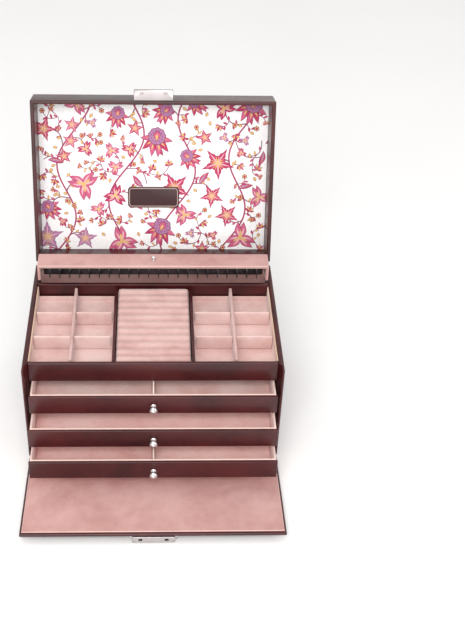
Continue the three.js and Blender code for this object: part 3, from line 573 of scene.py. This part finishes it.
def add_floor():
    s = Shader("floor_paper", Specular_IOR_Level=0.1)
    tone = s.ramp(s.noise(3, 3), (0.3, (0.86, 0.855, 0.85, 1)), (0.7, (0.88, 0.88, 0.875, 1)))
    s.done(tone, 0.9, s.bump(s.noise(400, 2), 0.05, 0.1 * MM))
    reach = 6.0
    corners = [(-reach, -reach, 0), (reach, -reach, 0), (reach, reach, 0), (-reach, reach, 0)]
    floor = add_piece("floor", corners, [(0, 1, 2, 3)], s.material)
    floor.location.z = CAD_BOX[0].z - 0.2 * MM


# ---- Soft pads: formed grids, eased by a cloth simulation ----


def grid_faces(rows, columns):
    """The quads of a grid whose points are numbered row by row."""
    starts = [r * columns + c for r in range(rows - 1) for c in range(columns - 1)]
    return [(k, k + 1, k + columns + 1, k + columns) for k in starts]


def inflated(rows, columns, at, held, pressure, frames):
    """Blows up a grid sheet that is held where held(row, column) says, and gives its points."""
    points = [at(r, c) for r in range(rows) for c in range(columns)]
    faces = grid_faces(rows, columns)
    sheet = add_piece("sheet_in_work", points, faces, LEATHER)
    pins = sheet.vertex_groups.new(name="held")
    for r in range(rows):
        for c in range(columns):
            if held(r, c):
                pins.add([r * columns + c], 1.0, "REPLACE")
    cloth = sheet.modifiers.new("cloth", "CLOTH")
    cloth.settings.quality = 6
    cloth.settings.mass = 0.25
    cloth.settings.tension_stiffness = 12
    cloth.settings.compression_stiffness = 12
    cloth.settings.shear_stiffness = 5
    cloth.settings.bending_stiffness = 0.4
    cloth.settings.vertex_group_mass = "held"
    cloth.settings.use_pressure = True
    cloth.settings.uniform_pressure_force = pressure
    cloth.settings.effector_weights.gravity = 0
    cloth.collision_settings.use_collision = False
    cloth.point_cache.frame_start = 1
    cloth.point_cache.frame_end = frames
    scene = bpy.context.scene
    for number in range(1, frames + 1):
        scene.frame_set(number)
    shaped = sheet.evaluated_get(bpy.context.evaluated_depsgraph_get()).to_mesh()
    result = [v.co.copy() for v in shaped.vertices]
    bpy.data.objects.remove(sheet)
    scene.frame_set(1)
    return result


def padded_form(name, points, rows, columns, bottom, material, place=STILL):
    """A closed pad: the grid sheet on top, sides down to a flat underside."""
    build_points = list(points)
    faces = grid_faces(rows, columns)
    rim = [c for c in range(columns)]
    rim += [r * columns + columns - 1 for r in range(1, rows)]
    rim += [(rows - 1) * columns + c for c in range(columns - 2, -1, -1)]
    rim += [r * columns for r in range(rows - 2, 0, -1)]
    start = len(build_points)
    build_points += [Vector((points[i].x, points[i].y, bottom)) for i in rim]
    count = len(rim)
    for k in range(count):
        nxt = (k + 1) % count
        faces.append((rim[nxt], rim[k], start + k, start + nxt))
    faces.append(tuple(start + k for k in reversed(range(count))))
    pad = add_piece(name, build_points, faces, material, place)
    smooth = pad.modifiers.new("smooth", "SUBSURF")
    smooth.levels = smooth.render_levels = 1
    return pad


def lid_pad():
    """The padded top: a crowned sheet, rolled down at its rim and pulled in under the posts."""
    low, high = box_in("lid_pad", LID)
    rows, columns = 49, 69
    rim = 2.9 * MM
    crown = 1.1 * MM
    posts = [sum(box_in(f"handle_post_{side}", LID), Vector()) / 2 for side in SIDES]
    size = high - low

    def at(r, c):
        u, v = c / (columns - 1), r / (rows - 1)
        return Vector((low.x + size.x * u, low.y + size.y * v, high.z - rim))

    def by_post(point):
        return min(math.hypot(point.x - p.x, point.y - p.y) for p in posts)

    def held(r, c):
        edge = r in (0, rows - 1) or c in (0, columns - 1)
        return edge or by_post(at(r, c)) < 6 * MM

    points = inflated(rows, columns, at, held, 3.0, 18)
    swell = max(p.z for p in points) - (high.z - rim)
    if swell < 0.1 * MM:
        for r in range(rows):
            for c in range(columns):
                u, v = c / (columns - 1), r / (rows - 1)
                points[r * columns + c].z += (math.sin(math.pi * u) * math.sin(math.pi * v)) ** 0.3 * rim
        swell = rim
    share = (rim + crown) / swell
    for index, point in enumerate(points):
        start = at(index // columns, index % columns)
        lift = (point.z - start.z) * share
        from_sides = min(abs(start.x - low.x), abs(high.x - start.x))
        from_ends = min(abs(start.y - low.y), abs(high.y - start.y))
        roll = min(1.0, min(from_sides, from_ends) / (7 * MM))
        edge = math.sqrt(max(0.0, 1 - (1 - roll) ** 2)) * 1.7 * MM
        dimple = math.exp(-((by_post(start) / (13 * MM)) ** 2)) * 1.6 * MM
        wrinkle = noise.noise(start * 55) * 0.25 * MM * roll
        level = high.z - rim + max(lift, edge) - dimple + wrinkle
        point.x, point.y = start.x, start.y
        point.z = min(level, high.z + crown)
    pad = padded_form("lid_pad_cushion", points, rows, columns, low.z, LEATHER, LID)
    settle(pad, "lid", "lid_pad")
    inset = Vector((8 * MM, 8 * MM, 0))
    level = high.z - 0.55 * MM
    corners = corners_of(low + inset, high - inset)
    line = [(Vector((x, y, level)), (0, 0, 1)) for x, y in corners + corners[:1]]
    stitched("lid_pad_stitches", [line], "lid", LID)


def ring_pad():
    """Eleven soft rolls with grooves for rings. The grid forms them; the cloth hardly moves."""
    low, high = box_in("ring_pad")
    rolls, per_roll, columns = 11, 8, 31
    rows = rolls * per_roll + 1
    size = high - low
    groove = high.z - 5.6 * MM

    def at(r, c):
        u, v = c / (columns - 1), r / (rows - 1)
        phase = (r % per_roll) / per_roll
        arch = math.sin(math.pi * phase) ** 0.5 * 4.4 * MM
        return Vector((low.x + size.x * u, low.y + size.y * v, groove + arch))

    def held(r, c):
        return r % per_roll == 0

    points = inflated(rows, columns, at, held, 2.0, 14)
    top = max(p.z for p in points)
    share = (high.z - groove - 0.2 * MM) / (top - groove)
    for index, point in enumerate(points):
        start = at(index // columns, index % columns)
        end = min(abs(start.x - low.x), abs(high.x - start.x)) / (4 * MM)
        tuck = math.sqrt(max(0.0, 1 - (1 - min(1.0, end)) ** 2)) * 0.35 + 0.65
        crumple = noise.noise(Vector((start.x * 60, start.y * 160, 3))) * 0.22 * MM
        point.z = min(groove + (point.z - groove) * share * tuck + crumple, high.z)
        point.x = min(max(point.x, low.x), high.x)
        point.y = min(max(point.y, low.y), high.y)
    pad = padded_form("ring_pad_rolls", points, rows, columns, low.z, ROLL_SUEDE, STILL)
    settle(pad, "case", "ring_pad")


# ---- Printed lining of the lid ----


def petal(length, width, tip=0.6):
    """A petal or leaf outline along +Y from its foot, widest at tip of its length."""
    steps = 9
    side = []
    for k in range(1, steps):
        share = k / steps
        swell = math.sin(math.pi * share ** (math.log(0.5) / math.log(tip)))
        side.append((width / 2 * swell, length * share))
    return [(0, 0)] + side + [(0, length)] + [(-x, y) for x, y in reversed(side)]


def curled(length, width, bend):
    """A petal whose tip curls over to one side."""
    outline = []
    for x, y in petal(length, width, 0.5):
        share = y / length
        outline.append((x + bend * share**2 * length, y * (1 - 0.25 * abs(bend) * share)))
    return outline


def lobed(radius, lobes, depth, teeth=0.05):
    """A round leaf or flower cut into lobes with toothed edges."""
    count = lobes * 8
    outline = []
    for k in range(count):
        turn = 2 * math.pi * k / count
        swell = 1 - 2 * depth * abs(math.sin(lobes * turn / 2)) ** 0.8
        reach = radius * swell * (1 + teeth * (-1) ** k)
        outline.append((reach * math.sin(turn), reach * math.cos(turn)))
    return outline


class Print:
    """Coloured outlines, later ones over earlier ones, on one rectangle."""

    def __init__(self, width, height):
        self.width, self.height = width, height
        self.shapes = []
        corners = [(-width / 2, 0), (width / 2, 0), (width / 2, height), (-width / 2, height)]
        self.shapes.append(("ground", corners))

    def draw(self, colour, outline, at=(0, 0), angle=0.0):
        c, s = math.cos(angle), math.sin(angle)
        points = [(at[0] + x * c - y * s, at[1] + x * s + y * c) for x, y in outline]
        turns = zip(points, points[1:] + points[:1])
        if sum(x0 * y1 - x1 * y0 for (x0, y0), (x1, y1) in turns) < 0:
            points.reverse()
        self.shapes.append((colour, points))

    def inked(self, fill, ink, outline, at, angle, grow=1.12):
        """A filled outline with a darker rim."""
        middle = sum(y for _, y in outline) / len(outline)
        rim = [(x * grow, middle + (y - middle) * grow) for x, y in outline]
        self.draw(ink, rim, at, angle)
        self.draw(fill, outline, at, angle)

    def ribbon(self, middle, wide, colour):
        left, right = [], []
        for k, (x, y) in enumerate(middle):
            ax, ay = middle[max(0, k - 1)]
            bx, by = middle[min(len(middle) - 1, k + 1)]
            length = math.hypot(bx - ax, by - ay) or 1
            sx, sy = -(by - ay) / length * wide / 2, (bx - ax) / length * wide / 2
            left.append((x + sx, y + sy))
            right.append((x - sx, y - sy))
        self.draw(colour, left + right[::-1])

    def stem(self, start, end, bow, wide, colour):
        run = (end[0] - start[0], end[1] - start[1])
        steps = 10
        middle = []
        for k in range(steps + 1):
            t = k / steps
            out = bow * math.sin(math.pi * t)
            middle.append((start[0] + run[0] * t - run[1] * out, start[1] + run[1] * t + run[0] * out))
        self.ribbon(middle, wide, colour)
        return middle

    def sprig(self, at, angle, size, dice):
        """Three or five small leaves fanned from one foot."""
        for k in range(-2, 3):
            fill = "tan" if k % 2 else dice.choice(("rose", "berry"))
            leaf = petal(size * (1.1 - 0.14 * abs(k)), size * 0.34, 0.55)
            self.inked(fill, "wine", leaf, at, angle + k * 0.62, 1.2)

    def rosette(self, at, radius, angle):
        self.draw("wine", lobed(radius, 6, 0.12, 0), at, angle)
        self.draw("tan", disc(radius * 0.66), at)
        self.draw("berry", disc(radius * 0.42, 8), at)
        self.draw("wine", disc(radius * 0.16, 6), at)

    def maple(self, at, radius, angle, fill):
        """A lobed leaf with five veins."""
        self.inked(fill, "wine", lobed(radius, 5, 0.27, 0.07), at, angle, 1.05)
        for k in range(5):
            turn = angle + k * 2 * math.pi / 5
            self.draw("blush", petal(radius * 0.82, radius * 0.09, 0.4), at, turn)
            for way in (-0.42, 0.42):
                self.draw("tan", petal(radius * 0.5, radius * 0.06, 0.4), at, turn + way)

    def lily(self, at, radius, angle, fill):
        """Six long curled petals round a tan heart."""
        for k in range(6):
            turn = angle + k * math.pi / 3
            leaf = curled(radius, radius * 0.42, 0.34 if k % 2 else -0.3)
            self.inked(fill, "wine", leaf, at, turn, 1.1)
            self.draw("blush", curled(radius * 0.72, radius * 0.12, 0.2 if k % 2 else -0.18), at, turn)
        for k in range(3):
            self.draw("tan", petal(radius * 0.5, radius * 0.14, 0.6), at, angle + 0.5 + k * 2.1)
        self.draw("tan", disc(radius * 0.15, 8), at)

    def peony(self, at, radius, angle):
        """A domed mauve flower in a skirt of curled petals, with a stippled heart."""
        for k in range(7):
            turn = angle + math.radians(-126 + 42 * k) + math.pi
            fill = "berry" if k % 2 else "rose"
            leaf = curled(radius, radius * 0.46, 0.5 if k > 3 else -0.5)
            self.inked(fill, "wine", leaf, at, turn, 1.1)
            self.draw("tan", curled(radius * 0.7, radius * 0.13, 0.36 if k > 3 else -0.36), at, turn)
        crown = (at[0] - radius * 0.3 * math.sin(angle), at[1] + radius * 0.3 * math.cos(angle))
        self.inked("mauve", "plum", lobed(radius * 0.55, 9, 0.05, 0), crown, angle, 1.1)
        for ring, count in ((0.36, 11), (0.2, 6)):
            for k in range(count):
                a = 2 * math.pi * k / count
                spot = (crown[0] + radius * ring * math.cos(a), crown[1] + radius * ring * math.sin(a))
                self.draw("plum" if ring > 0.3 else "tan", disc(radius * 0.045, 5), spot)
        self.inked("rose", "wine", petal(radius * 0.62, radius * 0.42, 0.6), at, angle, 1.15)
        self.draw("tan", petal(radius * 0.44, radius * 0.16, 0.6), at, angle)

    def feather(self, at, radius, angle):
        """A long curled leaf with a row of dashes along its spine."""
        self.inked("berry", "plum", curled(radius * 1.9, radius * 0.7, 0.3), at, angle, 1.12)
        self.draw("mauve", curled(radius * 1.6, radius * 0.36, 0.26), at, angle)
        c, s = math.cos(angle), math.sin(angle)
        for k in range(1, 6):
            y = radius * 0.28 * k
            x = 0.3 * (y / (radius * 1.9)) ** 2 * radius * 1.9
            place = (at[0] + x * c - y * s, at[1] + x * s + y * c)
            self.draw("tan", petal(radius * 0.2, radius * 0.1, 0.5), place, angle)

    def mesh(self):
        """One flat mesh, cut along every outline, each facet in the colour on top there."""
        points, rings = [], []
        for _, outline in self.shapes:
            rings.append(list(range(len(points), len(points) + len(outline))))
            points += [Vector(p) for p in outline]
        corners, _, facets, _, _, owners = geometry.delaunay_2d_cdt(points, [], rings, 1, 1e-4)
        ground = 0
        kept = [(facet, max(own)) for facet, own in zip(facets, owners) if ground in own]
        used = sorted({corner for facet, _ in kept for corner in facet})
        renumbered = {corner: index for index, corner in enumerate(used)}
        faces = [tuple(renumbered[corner] for corner in facet) for facet, _ in kept]
        indices = [PRINT_ORDER.index(self.shapes[top][0]) for _, top in kept]
        return [(corners[c].x, corners[c].y) for c in used], faces, indices


VINES = 4
VINE_SWAY = 15.0
# Radius and number of the flowers and leaves, largest first, in millimetres.
SPOTS = ((18.0, 9), (13.5, 14), (9.5, 18), (6.6, 34), (4.6, 50), (3.0, 40))


def winding(cloth, index, share):
    """A place on one of the vines, which climb the cloth in slow waves."""
    base = cloth.width * ((index + 0.5) / VINES - 0.5)
    sway = VINE_SWAY * math.sin(2 * math.pi * (share * 1.25 + 0.31 * index)) + 26 * (share - 0.5)
    return (base + sway, cloth.height * share)


def draw_flowers(width, height):
    """Winding vines, with flowers and leaves of six sizes packed between them and joined by stems."""
    dice = random.Random(23)
    cloth = Print(width, height)
    vines = [[winding(cloth, v, k / 40) for k in range(41)] for v in range(VINES)]
    spots = []
    for radius, count in SPOTS:
        found = 0
        for _ in range(count * 60):
            x, y = dice.uniform(-width / 2, width / 2), dice.uniform(0, height)
            if all(math.hypot(x - a, y - b) > (radius + r) * 0.98 for a, b, r in spots):
                spots.append((x, y, radius))
                found += 1
            if found == count:
                break
    for vine in vines:
        cloth.ribbon(vine, 1.9, "berry")
        cloth.ribbon(vine, 0.8, "plum")
    reach = [point for vine in vines for point in vine[::2]]
    for x, y, radius in spots:
        if radius < 4.5:
            continue
        start = min(reach, key=lambda p: math.hypot(p[0] - x, p[1] - y))
        line = cloth.stem(start, (x, y), dice.choice((-0.28, 0.28)), 0.5 + radius * 0.06, "plum")
        reach += line[4:7:2]
        for k in (3, 6):
            turn = math.atan2(y - start[1], x - start[0]) - math.pi / 2 + dice.choice((-0.9, 0.9))
            fill = dice.choice(("tan", "berry", "rose"))
            cloth.inked(fill, "wine", petal(5.2, 2.2, 0.5), line[k], turn, 1.2)
    for number, (x, y, radius) in enumerate(spots):
        angle = dice.uniform(0, 2 * math.pi)
        fill = dice.choice(("berry", "rose", "berry", "mauve"))
        at = (x, y)
        large, medium = radius > 13, radius > 9
        kind = number % 3 if large else (number + 1) % 3
        if medium and kind == 1:
            cloth.lily(at, radius * 1.05, angle, fill)
        elif medium and kind == (2 if large else 0):
            cloth.maple(at, radius, angle, fill)
        elif large:
            cloth.peony(at, radius, dice.uniform(-0.9, 0.9))
        elif medium:
            foot = (x + radius * math.sin(angle) * 0.6, y - radius * math.cos(angle) * 0.6)
            cloth.feather(foot, radius * 0.95, -angle)
        elif radius > 6 and number % 4 == 0:
            cloth.lily(at, radius, angle, fill)
        elif radius > 6 or (radius > 4 and number % 2):
            cloth.sprig(at, angle, radius, dice)
        elif radius > 4:
            cloth.rosette(at, radius * 0.75, angle)
        else:
            cloth.inked("tan", "wine", petal(radius * 1.6, radius, 0.55), at, angle, 1.25)
    return cloth.mesh()


def lid_lining():
    low, high = box_in("lid_lining", LID)
    size = high - low
    flat, faces, indices = draw_flowers(size.x / MM, size.y / MM)
    thick = size.z
    points = [(x * MM, high.y - y * MM, low.z) for x, y in flat]
    colours = list(PRINT.values())
    cloth = add_piece("lid_lining_print", points, faces, colours, LID, indices, False)
    body = cloth.modifiers.new("body", "SOLIDIFY")
    body.thickness = thick * 0.5
    body.offset = -1
    settle(cloth, "lid", "lid_lining")


# ---- Knobs ----


def knob_profile(length, ball_radius):
    """A flared foot, a ringed neck and a ball with a small nose."""
    foot = ball_radius * 0.72
    profile = [(0, 0), (foot, 0), (foot, 0.06 * length), (foot * 0.9, 0.10 * length)]
    profile += [(foot * 0.62, 0.15 * length), (foot * 0.5, 0.2 * length)]
    profile += [(foot * 0.72, 0.23 * length), (foot * 0.72, 0.26 * length), (foot * 0.56, 0.28 * length)]
    centre = length * 0.62
    for k in range(4, 15):
        angle = -math.pi / 2 + math.pi * k / 16
        profile.append((ball_radius * math.cos(angle), centre + ball_radius * 0.86 * math.sin(angle)))
    nose = ball_radius * 0.3
    profile += [(nose, length * 0.965), (nose * 0.8, length * 0.99), (0, length)]
    return profile


def add_knob(node, body, forward):
    low, high = box_in(node)
    middle = (low + high) / 2
    if forward:
        length = high.y - low.y
        place = Matrix.Translation((middle.x, high.y, middle.z)) @ Matrix.Rotation(math.pi / 2, 4, "X")
    else:
        length = high.z - low.z
        place = Matrix.Translation((middle.x, middle.y, low.z))
    width = (high.x - low.x) / 2
    points, faces = turned(knob_profile(length, width))
    obj = add_piece(f"{node}_turned", points, faces, CHROME, place)
    settle(obj, body, node)


# ---- Drawers ----


def piped_edge(name, low, high, wall, body, corner=2.2 * MM):
    """A pale piped edge round the top of an open box."""
    x, y = (high.x - low.x) / 2 - wall / 2, (high.y - low.y) / 2 - wall / 2
    middle = (low + high) / 2
    path = rounded_plan(middle, x - corner, y - corner, corner, high.z - 0.3 * MM, 3)
    points, faces = tube(path, 1.05 * MM, 12, closed=True, flatten=0.6)
    obj = add_piece(name, points, faces, PIPING)
    settle(obj, body)


def add_drawer(name):
    # The drawer box and its floor pads get the drawer suede, painted paler as painted light for the
    # shade inside the drawers.
    dressed(f"{name}_box", DRAWER_SUEDE_PAINTED_LIGHT, 0.5 * MM)
    dressed(f"{name}_front", LEATHER, 1.0 * MM)
    low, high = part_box(f"{name}_box")
    wall = 2.2 * MM
    floor = low.z + 1.8 * MM
    piped_edge(f"{name}_piping", low, high, wall, name)
    add_knob(f"{name}_knob", name, True)
    divider = f"{name}_divider"
    spans = [(low.x + wall, high.x - wall)]
    if divider in NODES:
        dressed(divider, PALE, 0.6 * MM)
        left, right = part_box(divider)[0].x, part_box(divider)[1].x
        spans = [(low.x + wall, left), (right, high.x - wall)]
    for number, (start, end) in enumerate(spans):
        gap = 0.35 * MM
        a = Vector((start + gap, low.y + wall + gap, floor))
        b = Vector((end - gap, high.y - wall - gap, floor + 1.5 * MM))
        points, faces = rounded_slab(a, b, 1.2 * MM, 0.7 * MM)
        pad = add_piece(f"{name}_floor_lining_{number + 1}", points, faces, DRAWER_SUEDE_PAINTED_LIGHT)
        settle(pad, name)


# ---- Necklace holder ----


def hook_rail():
    """A lacquered rail with a row of dark J hooks, each riveted on and ball tipped."""
    low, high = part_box("hook_rail")
    build = Build()
    hooks = 22
    rail_deep, rail_high = 1.6 * MM, 11.5 * MM
    top, back = high.z, high.y
    front = back - rail_deep
    pitch = (high.x - low.x - 4 * MM) / hooks
    radius = 0.55 * MM
    middle = Vector((0, back - rail_deep / 2, top - rail_high / 2))
    half = Vector(((high.x - low.x) / 2 - 0.6 * MM, 0, 0))
    upright = Vector((0, 1, 0))
    bar = [middle - half, middle + half]
    build.add(*tube(bar, rail_high / 2, 24, flatten=rail_deep / rail_high, up=upright))
    bend = 1.9 * MM
    foot = low.z + bend + radius
    shank = front - radius
    for index in range(hooks):
        x = (index - (hooks - 1) / 2) * pitch
        path = [Vector((x, shank, top - 1.5 * MM)), Vector((x, shank, foot + 2 * MM))]
        for k in range(9):
            angle = math.pi * k / 8
            y = shank - bend + bend * math.cos(angle)
            path.append(Vector((x, y, foot - bend * math.sin(angle))))
        path.append(Vector((x, shank - 2 * bend, foot + 1.6 * MM)))
        build.add(*tube(path, radius, 8, up=Vector((1, 0, 0))), 0)
        build.add(*ball(path[-1] + Vector((0, 0, 0.5 * MM)), 0.95 * MM), 0)
        build.add(*ball(Vector((x, front, top - 4.6 * MM)), 1.0 * MM, (1, 0.6, 1)), 1)
    rail = build.piece("hook_rail_fine", [BLACK, CHROME])
    settle(rail, "necklace_holder", "hook_rail")


def necklace_holder():
    dressed("holder_hood", ROSE, 1.0 * MM, 4)
    low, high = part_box("holder_hood")
    ends = (low.x + 1 * MM, high.x - 1 * MM)
    edge = [Vector((x, low.y + 0.5 * MM, high.z - 0.5 * MM)) for x in ends]
    under = [p - Vector((0, 0, 2.2 * MM)) for p in edge]
    build = Build()
    build.add(*tube(edge, 0.62 * MM, 10))
    build.add(*tube(under, 0.5 * MM, 10))
    line = build.piece("holder_hood_piping", PIPING)
    settle(line, "necklace_holder")
    hook_rail()
    add_knob("holder_knob", "necklace_holder", False)


# ---- Tray ----


def tray():
    ring_pad()
    for side in SIDES:
        dressed(f"ring_frame_{side}", LEATHER, 0.7 * MM)
        dressed(f"insert_{side}", ROSE_DEEP, 0.5 * MM)
        dressed(f"side_lining_{side}", BEIGE, 0.3 * MM)
        dressed(f"long_divider_{side}", ROLL_SUEDE, 0.9 * MM)
        for row in ("rear", "front"):
            dressed(f"cross_divider_{side}_{row}", ROSE_DEEP, 0.8 * MM)


# ---- Lock, hasp and hinges ----


def metalwork():
    dressed("hasp", NICKEL, 0.7 * MM, 4)
    dressed("lock_case", NICKEL, 0.7 * MM, 4)
    dressed("lock_plug", CHROME, 0.25 * MM)
    for side in SIDES:
        dressed(f"lock_button_{side}", CHROME, 0.9 * MM, 4)
        dressed(f"handle_post_{side}", CHROME, 0.35 * MM)
        dressed(f"handle_link_{side}", CHROME, 0.4 * MM)
    for hinge, piece in (("lid_hinge", "lid"), ("flap_hinge", "flap")):
        for part in ("case_leaf", f"{piece}_leaf", "pin"):
            dressed(f"{hinge}_{part}", STEEL, 0.15 * MM, 2)
    lock_low, _ = box_in("lock_case", FLAP)
    centre = sum(box_in("lock_plug", FLAP), Vector()) / 2
    radius, face = 4.4 * MM, lock_low.y + 0.35 * MM
    circle = [(radius * x, radius * z) for x, z in disc(1, 40)]
    ring = [Vector((centre.x + x, face, centre.z + z)) for x, z in circle]
    points, faces = tube(ring, 0.55 * MM, 8, closed=True, up=Vector((0, 1, 0)))
    escutcheon = add_piece("lock_escutcheon", points, faces, CHROME, FLAP)
    settle(escutcheon, "flap")


# ---- Handle ----


SQUARE_SIDE, SQUARE_FACE = 0.45, 0.6
KEEPER_THICK, KEEPER_WIDE = 1.12, 1.05


def squared(angle):
    """A point of the strap's flattened section, each way from -1 to 1."""
    c, s = math.cos(angle), math.sin(angle)
    return math.copysign(abs(c) ** SQUARE_SIDE, c), math.copysign(abs(s) ** SQUARE_FACE, s)


def handle():
    """A padded strap that hangs from its two links, stitched along both edges."""
    low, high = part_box("handle_strap")
    link_low, link_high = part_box("handle_link_right")
    bar_x = (link_low.x + link_high.x) / 2
    loop = high.x - bar_x
    bar_z = high.z - loop
    middle_y = (low.y + high.y) / 2
    thick = 4.0 * MM
    rise = bar_z - low.z - thick / 2
    wide, narrow = high.y - low.y, 12 * MM
    steps, sides = 64, 24

    def along(share):
        angle = math.pi * (1 - share)
        return Vector((bar_x * math.cos(angle), middle_y, bar_z - rise * math.sin(angle) ** 0.8))

    def section(share, offset, side):
        """The point at offset (-1 inside, 1 outside) and side (-1 to 1 across) of a place."""
        ahead = (along(min(1, share + 0.004)) - along(max(0, share - 0.004))).normalized()
        outward = ahead.cross(Vector((0, 1, 0))) * -1
        if outward.z > 0:
            outward = -outward
        reach = min(share, 1 - share)
        width = narrow + (wide - narrow) * min(1.0, reach / 0.12) ** 0.7
        return along(share) + Vector((0, side * width / 2, 0)) + outward * (offset * thick / 2)

    points = []
    for k in range(steps + 1):
        share = 0.004 + 0.992 * k / steps
        for n in range(sides):
            side, offset = squared(2 * math.pi * n / sides)
            points.append(section(share, offset, side))
    faces = strips(steps + 1, sides)
    faces.append(tuple(reversed(range(sides))))
    faces.append(tuple(range(steps * sides, (steps + 1) * sides)))
    build = Build()
    build.add(points, faces)
    for sign in (-1, 1):
        centre = Vector((sign * bar_x, middle_y, bar_z))
        outer, inner = loop - 0.1 * MM, 1.85 * MM
        rings = []
        eased = outer - 0.5 * MM
        half = [(0.92, outer), (1, eased), (1, inner)]
        profile = [(-y, radius) for y, radius in reversed(half)] + half
        for y, radius in profile:
            circle = [(radius * x, radius * z) for x, z in disc(1, sides)]
            rings.append([centre + Vector((x, y * narrow / 2, z)) for x, z in circle])
        flat = [p for ring in rings for p in ring]
        build.add(flat, strips(len(rings), sides, closed=True))
    strap = build.piece("handle_strap_sewn", LEATHER)
    settle(strap, "handle", "handle_strap")
    lines = []
    for side in (-0.74, 0.74):
        for offset in (1.0, -1.0):
            shares = [0.1 + 0.8 * k / 40 for k in range(41)]
            line = []
            for share in shares:
                at = section(share, offset * 0.93, side)
                line.append((at, section(share, offset * 2, side) - at))
            lines.append(line)
    stitched("handle_stitches", lines, "handle", pitch=2.9 * MM, length=2.0 * MM, size=0.36 * MM)
    for side, share in zip(SIDES, (0.075, 0.925)):
        ring = []
        for n in range(32):
            side_way, offset = squared(2 * math.pi * n / 32)
            ring.append(section(share, offset * KEEPER_THICK, side_way * KEEPER_WIDE))
        ahead = (along(share + 0.01) - along(share - 0.01)).normalized()
        pts, fcs = tube(ring, 0.75 * MM, 10, closed=True, up=ahead)
        keeper = add_piece(f"handle_keeper_{side}", pts, fcs, CHROME)
        settle(keeper, "handle")


# ---- Flap ----


def flap():
    dressed("flap_panel", LEATHER, 1.2 * MM, 4)
    dressed("flap_lining", ROSE, 0.45 * MM)
    low, high = box_in("flap_panel", FLAP)
    face = low.y - 0.1 * MM
    side, end = 6 * MM, 4 * MM
    lock_low, lock_high = box_in("lock_case", FLAP)
    near, far = low.z + end, high.z - end
    left_x, right_x = low.x + side, high.x - side
    corners = [(left_x, near), (left_x, far), (right_x, far), (right_x, near)]
    gap = 1.5 * MM
    left = [corners[0], corners[1], (lock_low.x - gap, corners[1][1])]
    right = [(lock_high.x + gap, corners[2][1]), corners[2], corners[3]]
    lines = [[(Vector((x, face, z)), (0, -1, 0)) for x, z in run] for run in (left, right)]
    stitched("flap_stitches", lines, "flap", FLAP)
    lining_low, lining_high = box_in("flap_lining", FLAP)
    inset, foot, sunk = 0.6 * MM, 1 * MM, 0.1 * MM
    near, far = lining_low.z + foot, lining_high.z - inset
    left_x, right_x = lining_low.x + inset, lining_high.x - inset
    corners = [(left_x, near), (left_x, far), (right_x, far), (right_x, near)]
    edge = [Vector((x, lining_high.y - sunk, z)) for x, z in corners]
    points, faces = tube(edge, 0.45 * MM, 8, up=Vector((0, 1, 0)))
    welt = add_piece("flap_lining_welt", points, faces, PIPING, FLAP)
    settle(welt, "flap")


# ---- Lid ----


def lid():
    dressed("lid_shell", LEATHER, 1.3 * MM, 4)
    dressed("lid_plaque", EDGE_LEATHER, 0.5 * MM)
    lid_pad()
    lid_lining()
    low, high = box_in("lid_plaque", LID)
    inset = 1.8 * MM
    corner = 3 * MM
    half_x = high.x - inset - corner
    half_y = (high.y - low.y) / 2 - inset - corner
    path = rounded_plan((low + high) / 2, half_x, half_y, corner, low.z)
    points, faces = tube(path, 0.32 * MM, 8, closed=True)
    line = add_piece("lid_plaque_border", points, faces, PIPING, LID)
    settle(line, "lid")


def case():
    for node in ("side_wall_left", "side_wall_right", "rear_wall"):
        dressed(node, LEATHER, 0.9 * MM, 4)
    for node in ("front_rail", "plinth_board", "well_partition"):
        dressed(node, LEATHER, 0.8 * MM)
    dressed("base_board", LEATHER, 0.8 * MM)
    for node in ("drawer_floor", "drawer_shelf_lower", "drawer_shelf_upper", "tray_floor"):
        dressed(node, BOARD, 0.3 * MM, 2)


add_camera()
add_studio()
add_floor()
case()
tray()
for drawer in DRAWERS:
    add_drawer(drawer)
necklace_holder()
lid()
flap()
handle()
metalwork()
